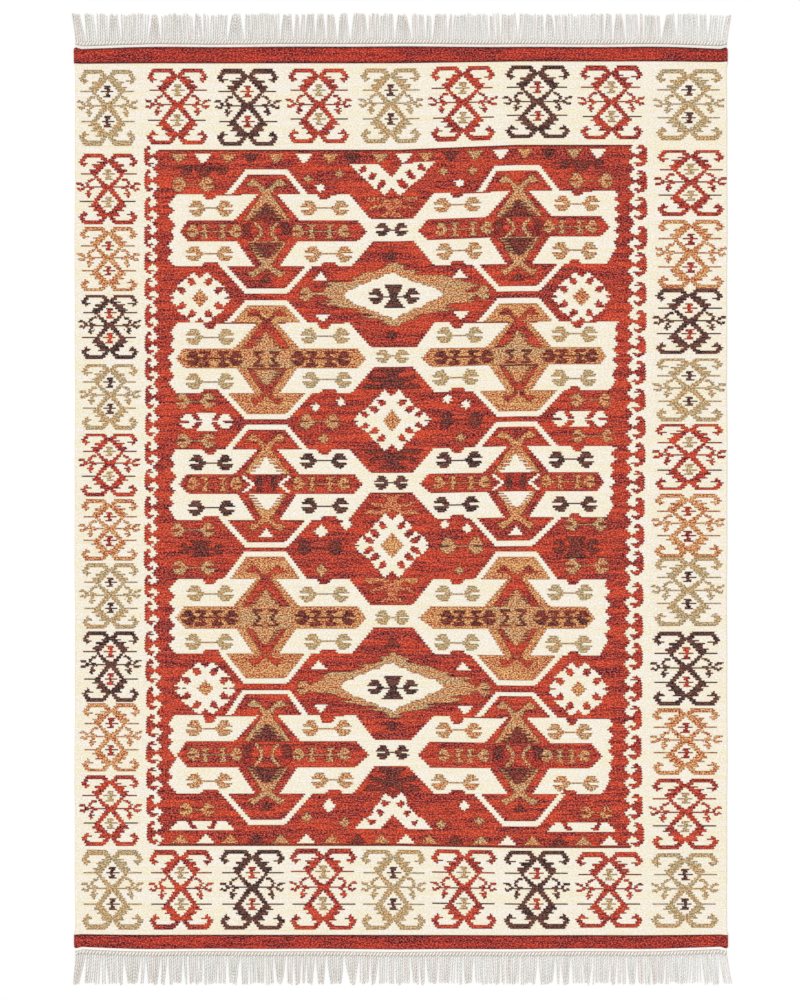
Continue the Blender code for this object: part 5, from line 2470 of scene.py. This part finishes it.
@dataclass
class Guides:
    """Points and edges that a fringe's cords, rails and knots are grown from."""

    points: list[tuple[float, float, float]] = field(default_factory=list)
    edges: list[tuple[int, int]] = field(default_factory=list)
    kind: list[int] = field(default_factory=list)
    girth: list[float] = field(default_factory=list)
    tint: list[float] = field(default_factory=list)
    spin: list[float] = field(default_factory=list)

    def line(
        self, points: Sequence[tuple], kind: Guide, girths: Sequence[float], tint: float, spin: float
    ) -> None:
        """Add a line of points joined by edges.

        Args:
            points: The line's points, in metres.
            kind: What the line becomes.
            girths: How thick it is at each point.
            tint: Its tint, from 0 to 1 for strands, and above 1 for the rail coloured as the painted shade
                between the knots.
            spin: How far it is turned to begin with.
        """
        first = len(self.points)
        self.points += points
        self.edges += [(first + k, first + k + 1) for k in range(len(points) - 1)]
        self.kind += [kind.value] * len(points)
        self.girth += girths
        self.tint += [tint] * len(points)
        self.spin += [spin] * len(points)

    def mesh(self, name: str) -> bpy.types.Mesh:
        """Return the guides as a mesh with their attributes.

        Args:
            name: The mesh's name.

        Returns:
            The mesh.
        """
        mesh = bpy.data.meshes.new(name)
        mesh.from_pydata(self.points, self.edges, [])
        for label in ("kind", "girth", "tint", "spin"):
            layer = mesh.attributes.new(label, "FLOAT", "POINT")
            layer.data.foreach_set("value", np.array(getattr(self, label), dtype=np.float32))
        return mesh


class Growth:
    """The Geometry Nodes tree that turns guides into twisted cords, rails and wrapped knots."""

    sizes: ClassVar[Sequence[str]] = ("Turns", "Knot Width", "Knot Length", "Knot Height", "Rail Height")
    sides: ClassVar[int] = 8
    ply_depth: ClassVar[float] = 0.36
    ply_rise: ClassVar[float] = 1.16
    ply_fall: ClassVar[float] = 0.42

    def __init__(self, name: str) -> None:
        """Start the tree and its named inputs.

        Args:
            name: The tree's name.
        """
        self.tree = bpy.data.node_groups.new(name, "GeometryNodeTree")
        face = self.tree.interface
        face.new_socket("Guides", in_out="INPUT", socket_type="NodeSocketGeometry")
        self.identifiers = {
            label: face.new_socket(label, in_out="INPUT", socket_type=kind).identifier
            for label, kind in (
                *((size, "NodeSocketFloat") for size in self.sizes), ("Finish", "NodeSocketMaterial"),
            )
        }
        face.new_socket("Fringe", in_out="OUTPUT", socket_type="NodeSocketGeometry")
        self.start = self.tree.nodes.new("NodeGroupInput")
        self.end = self.tree.nodes.new("NodeGroupOutput")

    def node(self, kind: str, inputs: dict | None = None, **options: str) -> bpy.types.Node:
        """Add a node, set its options, and link or set its inputs.

        Args:
            kind: The node's type.
            inputs: Sockets or values for its inputs.
            options: Values for its own settings.

        Returns:
            The node.
        """
        node = self.tree.nodes.new(kind)
        for label, value in options.items():
            setattr(node, label, value)
        for label, value in (inputs or {}).items():
            socket = node.inputs[label]
            if isinstance(value, Socket):
                self.tree.links.new(value, socket)
            else:
                socket.default_value = value
        return node

    def value(self, label: str) -> Socket:
        """Return a number attribute of the guides."""
        return self.node("GeometryNodeInputNamedAttribute", {"Name": label}, data_type="FLOAT").outputs[0]

    def math(self, operation: str, first: Socket | float, second: Socket | float) -> Socket:
        """Return the result of a Math node."""
        return self.node("ShaderNodeMath", {0: first, 1: second}, operation=operation).outputs[0]

    def of_kind(self, kind: Guide) -> Socket:
        """Return the guides of one kind.

        Args:
            kind: The kind.

        Returns:
            The guides' geometry.
        """
        low = self.math("GREATER_THAN", self.value("kind"), kind.value - 0.5)
        high = self.math("LESS_THAN", self.value("kind"), kind.value + 0.5)
        both = self.math("MULTIPLY", low, high)
        picked = self.node(
            "GeometryNodeSeparateGeometry",
            {"Geometry": self.start.outputs["Guides"], "Selection": both}, domain="POINT",
        )
        return picked.outputs["Selection"]

    def profile(self, height: Socket | None = None) -> Socket:
        """Return a cross-section: a flattened circle, or without a height two plies side by side.

        Args:
            height: How flat the circle is.

        Returns:
            The cross-section's curve.
        """
        sizes = {"Resolution": self.sides, "Radius": 1.0}
        circle = self.node("GeometryNodeCurvePrimitiveCircle", sizes).outputs[0]
        place = self.node("GeometryNodeInputPosition").outputs[0]
        if height is None:
            x = self.node("ShaderNodeSeparateXYZ", {0: place}).outputs[0]
            square = self.math("MULTIPLY", x, x)
            bulge = self.math("SUBTRACT", self.ply_rise, self.math("MULTIPLY", square, self.ply_fall))
            size = self.math("ADD", self.math("MULTIPLY", bulge, square), self.ply_depth)
            moved = self.node("ShaderNodeVectorMath", {0: place, "Scale": size}, operation="SCALE")
        else:
            flat = self.node("ShaderNodeCombineXYZ", {"X": 1.0, "Y": height, "Z": 1.0}).outputs[0]
            moved = self.node("ShaderNodeVectorMath", {0: place, 1: flat}, operation="MULTIPLY")
        inputs = {"Geometry": circle, "Position": moved.outputs[0]}
        return self.node("GeometryNodeSetPosition", inputs).outputs[0]

    def swept(self, kind: Guide, profile: Socket, turns: Socket | None = None) -> Socket:
        """Return the guides of one kind swept into tubes, each as thick as its girth.

        Args:
            kind: The kind of guide.
            profile: The tubes' cross-section.
            turns: How often the tubes are twisted.

        Returns:
            The tubes.
        """
        curve = self.node("GeometryNodeMeshToCurve", {"Mesh": self.of_kind(kind)}).outputs[0]
        curve = self.node("GeometryNodeSetCurveNormal", {"Curve": curve}, mode="Z_UP").outputs[0]
        if turns is not None:
            along = self.node("GeometryNodeSplineParameter").outputs["Factor"]
            angle = self.math("MULTIPLY", self.math("MULTIPLY", along, turns), 2.0 * math.pi)
            angle = self.math("ADD", angle, self.value("spin"))
            curve = self.node("GeometryNodeSetCurveTilt", {"Curve": curve, "Tilt": angle}).outputs[0]
        swept = self.node(
            "GeometryNodeCurveToMesh",
            {"Curve": curve, "Profile Curve": profile, "Scale": self.value("girth"), "Fill Caps": True},
        )
        return swept.outputs[0]

    def knots(self) -> Socket:
        """Return a slanted wrap of yarn on each knot guide.

        Returns:
            The knots, as instances.
        """
        start = self.start.outputs
        ball = self.node("GeometryNodeMeshUVSphere", {"Segments": 8, "Rings": 6, "Radius": 1.0}).outputs[0]
        axes = {"X": start["Knot Width"], "Y": start["Knot Length"], "Z": start["Knot Height"]}
        sizes = self.node("ShaderNodeCombineXYZ", axes).outputs[0]
        scaling = {0: sizes, "Scale": self.value("girth")}
        inputs = {
            "Points": self.node("GeometryNodeMeshToPoints", {"Mesh": self.of_kind(Guide.KNOT)}).outputs[0],
            "Instance": ball,
            "Rotation": self.node("ShaderNodeCombineXYZ", {"Z": self.value("spin")}).outputs[0],
            "Scale": self.node("ShaderNodeVectorMath", scaling, operation="SCALE").outputs[0],
        }
        return self.node("GeometryNodeInstanceOnPoints", inputs).outputs[0]

    def finish(self) -> bpy.types.GeometryNodeTree:
        """Join the parts, make them real and give them their finish.

        Returns:
            The finished tree.
        """
        start = self.start.outputs
        cords = self.swept(Guide.CORD, self.profile(), start["Turns"])
        rails = self.swept(Guide.RAIL, self.profile(start["Rail Height"]))
        joined = self.tree.nodes.new("GeometryNodeJoinGeometry")
        for part in (cords, rails, self.knots()):
            self.tree.links.new(part, joined.inputs[0])
        real = self.node("GeometryNodeRealizeInstances", {"Geometry": joined.outputs[0]}).outputs[0]
        smooth = self.node("GeometryNodeSetShadeSmooth", {"Geometry": real}).outputs[0]
        dressed = self.node("GeometryNodeSetMaterial", {"Geometry": smooth, "Material": start["Finish"]})
        self.tree.links.new(dressed.outputs[0], self.end.inputs[0])
        return self.tree


class Rail(NamedTuple):
    """One cord of the heading: how far out it lies, its girth, its points, its tint, its ripple."""

    offset: float
    girth: float
    points: int
    tint: float
    ripple: float
    ripple_length: float


@dataclass
class Fringe:
    """One end's fringe: twisted warp ends, two to a lock, below a corded and knotted heading."""

    end: int
    outline: ClothOutline = ClothOutline()
    locks: int = 148
    spread: float = 1.7200
    heading_gap: float = 0.0003
    lock_width: float = 0.0078
    shortfall: float = 0.0070
    bundle_lean: float = 0.0030
    bundle_locks: float = 17.0
    stray_lean: float = 0.0011
    stray_locks: float = 5.3
    splay_locks: int = 6
    clump_cords: tuple[int, int] = (2, 8)
    clump_pull: tuple[float, float] = (-0.12, 0.62)
    clump_lean: float = 0.0022
    cord_start: float = 0.0135
    cord_radius: float = 0.00172
    cord_height: float = 0.0021
    cord_points: int = 29
    turns: float = 4.2
    knot_pitch: float = 0.0086
    knot_slant: float = -0.62
    knot_place: float = 0.0125
    knot_lift: float = 0.0036
    knot_sizes: ClassVar[Sequence[float]] = (0.0019, 0.0064, 0.0023)
    knot_slant_spread: float = 0.16
    knot_size_spread: float = 0.12
    knot_tint: tuple[float, float] = (0.3, 0.4)
    spin_range: float = 6.28
    twin_place: float = 0.25
    twin_short: float = 0.0022
    sway: float = 0.0012
    curl: float = 0.0026
    root_stray: float = 0.0008
    slub: float = 0.07
    tip_share: float = 0.72
    heading_inset: float = 0.0024
    rail_height: float = 0.44
    rail_lift: float = 0.0002
    rails: ClassVar[Sequence[Rail]] = (
        Rail(0.0016, 0.0016, 700, 0.62, 0.10, 0.0062),
        Rail(0.0048, 0.0026, 90, 0.5, 0.04, math.tau / 61.0),
        # The third rail, under the knots, is tinted as painted shade, which shows between them.
        Rail(0.0115, 0.0052, 90, 2.0, 0.04, math.tau / 61.0),
    )

    def lean(self, index: float) -> float:
        """Return how far a lock's tip leans along x, in bundles, and splayed at the corners.

        Args:
            index: The lock, counted from the left.

        Returns:
            The lean, in metres.
        """
        bundle = self.bundle_lean * math.sin(2.0 * math.pi * index / self.bundle_locks + 1.7 * self.end)
        stray = self.stray_lean * math.sin(2.0 * math.pi * index / self.stray_locks + 0.9 * self.end)
        from_left = max(0.0, 1.0 - index / self.splay_locks)
        from_right = max(0.0, 1.0 - (self.locks - 1 - index) / self.splay_locks)
        corner = (self.spread - CLOTH_WIDTH + self.lock_width) / 2
        return (bundle + stray) * (1.0 - from_left - from_right) + corner * (from_right - from_left)

    def shortfalls(self) -> list[float]:
        """Return how far each lock stops short of the rug's full length.

        Returns:
            One length for each lock, in metres.
        """
        raw = [even_noise(index, 2.0 + self.end) for index in range(self.locks)]
        low, high = min(raw), max(raw)
        return [self.shortfall * (value - low) / (high - low) for value in raw]

    def clumps(self) -> list[float]:
        """Return how far each cord's tip is drawn towards the middle of its clump.

        Returns:
            One shift for each cord, in metres.
        """
        pitch = CLOTH_WIDTH / self.locks / 2
        count = 2 * self.locks
        (low, high), (weak, strong) = self.clump_cords, self.clump_pull
        pulls: list[float] = []
        first = 0
        while first < count:
            size = low + int((high - low + 1) * even_noise(first, 13.0 + self.end))
            last = min(first + size, count)
            pull = weak + (strong - weak) * even_noise(first, 17.0 + self.end)
            middle = (first + last - 1) / 2
            lean = self.clump_lean * (even_noise(first, 19.0 + self.end) - 0.5)
            pulls += [(middle - k) * pitch * pull + lean for k in range(first, last)]
            first = last
        return pulls

    def cords(self, guides: Guides) -> None:
        """Add the guides of the cords, two to a lock, each with its own slight waves.

        Args:
            guides: The guides that take the lines.
        """
        pitch = CLOTH_WIDTH / self.locks
        clumps = self.clumps()
        for index, shortfall in enumerate(self.shortfalls()):
            for twin in (-1, 1):
                seed = 2.0 * index + (twin + 1) / 2
                root_x = -CLOTH_WIDTH / 2 + (index + 0.5 + self.twin_place * twin) * pitch
                root_y = float(self.outline.end_y(root_x, self.end)) + self.end * self.cord_start
                short = shortfall + (self.twin_short * even_noise(seed, 11.0) if twin > 0 else 0.0)
                tip_y = self.end * (OVERALL_LENGTH / 2 - short)
                lean = self.lean(index + self.twin_place * twin) + clumps[2 * index + (twin + 1) // 2]
                sway = self.sway * (even_noise(seed, 4.0) - 0.5)
                curl = self.curl * (even_noise(seed, 9.0) - 0.5)
                root_x += self.root_stray * (even_noise(seed, 15.0) - 0.5)
                points, girths = [], []
                for k in range(self.cord_points):
                    share = k / (self.cord_points - 1)
                    wave = sway * math.sin(6.0 * share + seed) + curl * share * share
                    x = root_x + lean * share ** 1.3 + wave
                    points.append((x, root_y + share * (tip_y - root_y), self.cord_height))
                    thick = 1.0 + self.slub * math.sin(11.0 * share + 2.3 * seed)
                    tip = self.tip_share if k == self.cord_points - 1 else 1.0
                    girths.append(self.cord_radius * thick * tip)
                spin = self.spin_range * even_noise(seed, 8.0)
                guides.line(points, Guide.CORD, girths, even_noise(seed, 6.0), spin)

    def heading(self, guides: Guides) -> None:
        """Add the guides of the heading: two flat rails, the outer one coloured as painted shade between the
        knots, a fine cord beside the cloth, the knots.

        Args:
            guides: The guides that take the lines.
        """
        reach = CLOTH_WIDTH / 2 - self.heading_inset
        for rail in self.rails:
            points, girths = [], []
            for k in range(rail.points):
                x = -reach + 2.0 * reach * k / (rail.points - 1)
                height = self.rail_height * rail.girth + self.rail_lift
                points.append((x, self.beyond(x, rail.offset), height))
                ripple = rail.ripple * math.sin(2.0 * math.pi * x / rail.ripple_length)
                girths.append(rail.girth * (1.0 + ripple))
            guides.line(points, Guide.RAIL, girths, rail.tint, 0.0)
        palest, spread = self.knot_tint
        count = int(2.0 * reach / self.knot_pitch)
        for k in range(count):
            x = -reach + 2.0 * reach * (k + 0.5) / count
            point = (x, self.beyond(x, self.knot_place), self.knot_lift)
            slant = self.knot_slant + self.knot_slant_spread * (even_noise(k, 3.0) - 0.5)
            size = 1.0 + self.knot_size_spread * (even_noise(k, 7.0) - 0.5)
            tint = palest + spread * even_noise(k, 5.0)
            guides.line([point], Guide.KNOT, [size], tint, slant)

    def beyond(self, x: float, offset: float) -> float:
        """Return the y that lies an offset beyond the heading's gap at x."""
        return float(self.outline.end_y(x, self.end) + self.end * (self.heading_gap + offset))

    def build(self, name: str, tree: Growth, finish: bpy.types.Material) -> bpy.types.Object:
        """Make the fringe.

        Args:
            name: The new object's name.
            tree: The tree that grows cords and knots.
            finish: The cotton's material.

        Returns:
            The fringe as a plain mesh.
        """
        guides = Guides()
        self.cords(guides)
        self.heading(guides)
        holder = add_object(name + "_guides", guides.mesh(name + "_guides"))
        modifier = holder.modifiers.new("growth", "NODES")
        modifier.node_group = tree.tree
        sizes = (self.turns, *self.knot_sizes, self.rail_height)
        for label, value in (*zip(tree.sizes, sizes), ("Finish", finish)):
            modifier[tree.identifiers[label]] = value
        graph = bpy.context.evaluated_depsgraph_get()
        mesh = bpy.data.meshes.new_from_object(holder.evaluated_get(graph))
        mesh.name = name
        bpy.data.objects.remove(holder, do_unlink=True)
        LOG.info("%s: %d faces, %d locks of two cords", name, len(mesh.polygons), self.locks)
        return add_object(name, mesh)


# --------------------------------------------------------------------------- studio


@dataclass(frozen=True)
class Studio:
    """Camera straight above, soft even light, and a plain pale floor."""

    camera_height: float = 7.24
    lens: float = 100.0
    aim: Point = (-0.0022, -0.0036)
    ambient: float = 0.72
    key: float = 1.30
    floor_reach: float = 9.0
    floor_drop: float = 0.0004

    def floor(self) -> bpy.types.Object:
        """Return the floor.

        Returns:
            The floor.
        """
        reach = self.floor_reach
        corners = ((-reach, -reach), (reach, -reach), (reach, reach), (-reach, reach))
        mesh = bpy.data.meshes.new("floor")
        mesh.from_pydata([(x, y, -self.floor_drop) for x, y in corners], [], [(0, 1, 2, 3)])
        floor = add_object("floor", mesh)
        shader = Shader("pale_floor")
        tone = shader.spread(shader.noise((1.5, 1.5, 1.0)), 0.0, 1.0, 0.0, 0.4)
        colour = shader.blend(tone, (0.97, 0.97, 0.97), (0.96, 0.96, 0.96))
        shader.join(colour, shader.surface.inputs["Base Color"])
        shader.surface.inputs["Roughness"].default_value = 0.9
        mesh.materials.append(shader.material)
        return floor

    def light(self) -> None:
        """Set a white surround and one soft key light."""
        world = bpy.data.worlds.new("surround")
        world.use_nodes = True
        background = world.node_tree.nodes["Background"].inputs
        background["Color"].default_value = (1.0, 1.0, 1.0, 1.0)
        background["Strength"].default_value = self.ambient
        bpy.context.scene.world = world
        lamp = bpy.data.lights.new("key", "SUN")
        lamp.energy = self.key
        lamp.angle = math.radians(30.0)
        key = add_object("key", lamp)
        key.rotation_euler = (math.radians(-32.0), math.radians(-24.0), 0.0)

    def camera(self) -> None:
        """Set the camera straight above the rug."""
        data = bpy.data.cameras.new("camera")
        data.lens = self.lens
        data.sensor_width = 36.0
        data.clip_end = 100.0
        camera = add_object("camera", data)
        camera.location = (*self.aim, self.camera_height)
        bpy.context.scene.camera = camera
        bpy.context.scene.view_settings.view_transform = "Standard"


def main() -> None:
    """Load the frame, dress the rug in it and set the studio."""
    logging.basicConfig(level=logging.INFO, format="%(name)s: %(message)s")
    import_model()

    finishes = [WOOLS[dye].material() for dye in Dye]
    chart = KilimPattern().weave()
    cloth = WovenCloth(chart).build("woven_cloth", finishes)
    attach(cloth, "root")
    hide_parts("rug_cloth")

    growth = Growth("fringe_growth")
    growth.finish()
    cotton = CottonFinish().material()
    for name, end, node in (("far_fringe", FAR_END, "fringe_far"), ("near_fringe", NEAR_END, "fringe_near")):
        fringe = Fringe(end).build(name, growth, cotton)
        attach(fringe, "root")
        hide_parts(node)

    studio = Studio()
    floor = studio.floor()
    studio.light()
    studio.camera()


if __name__ == "__main__":
    main()
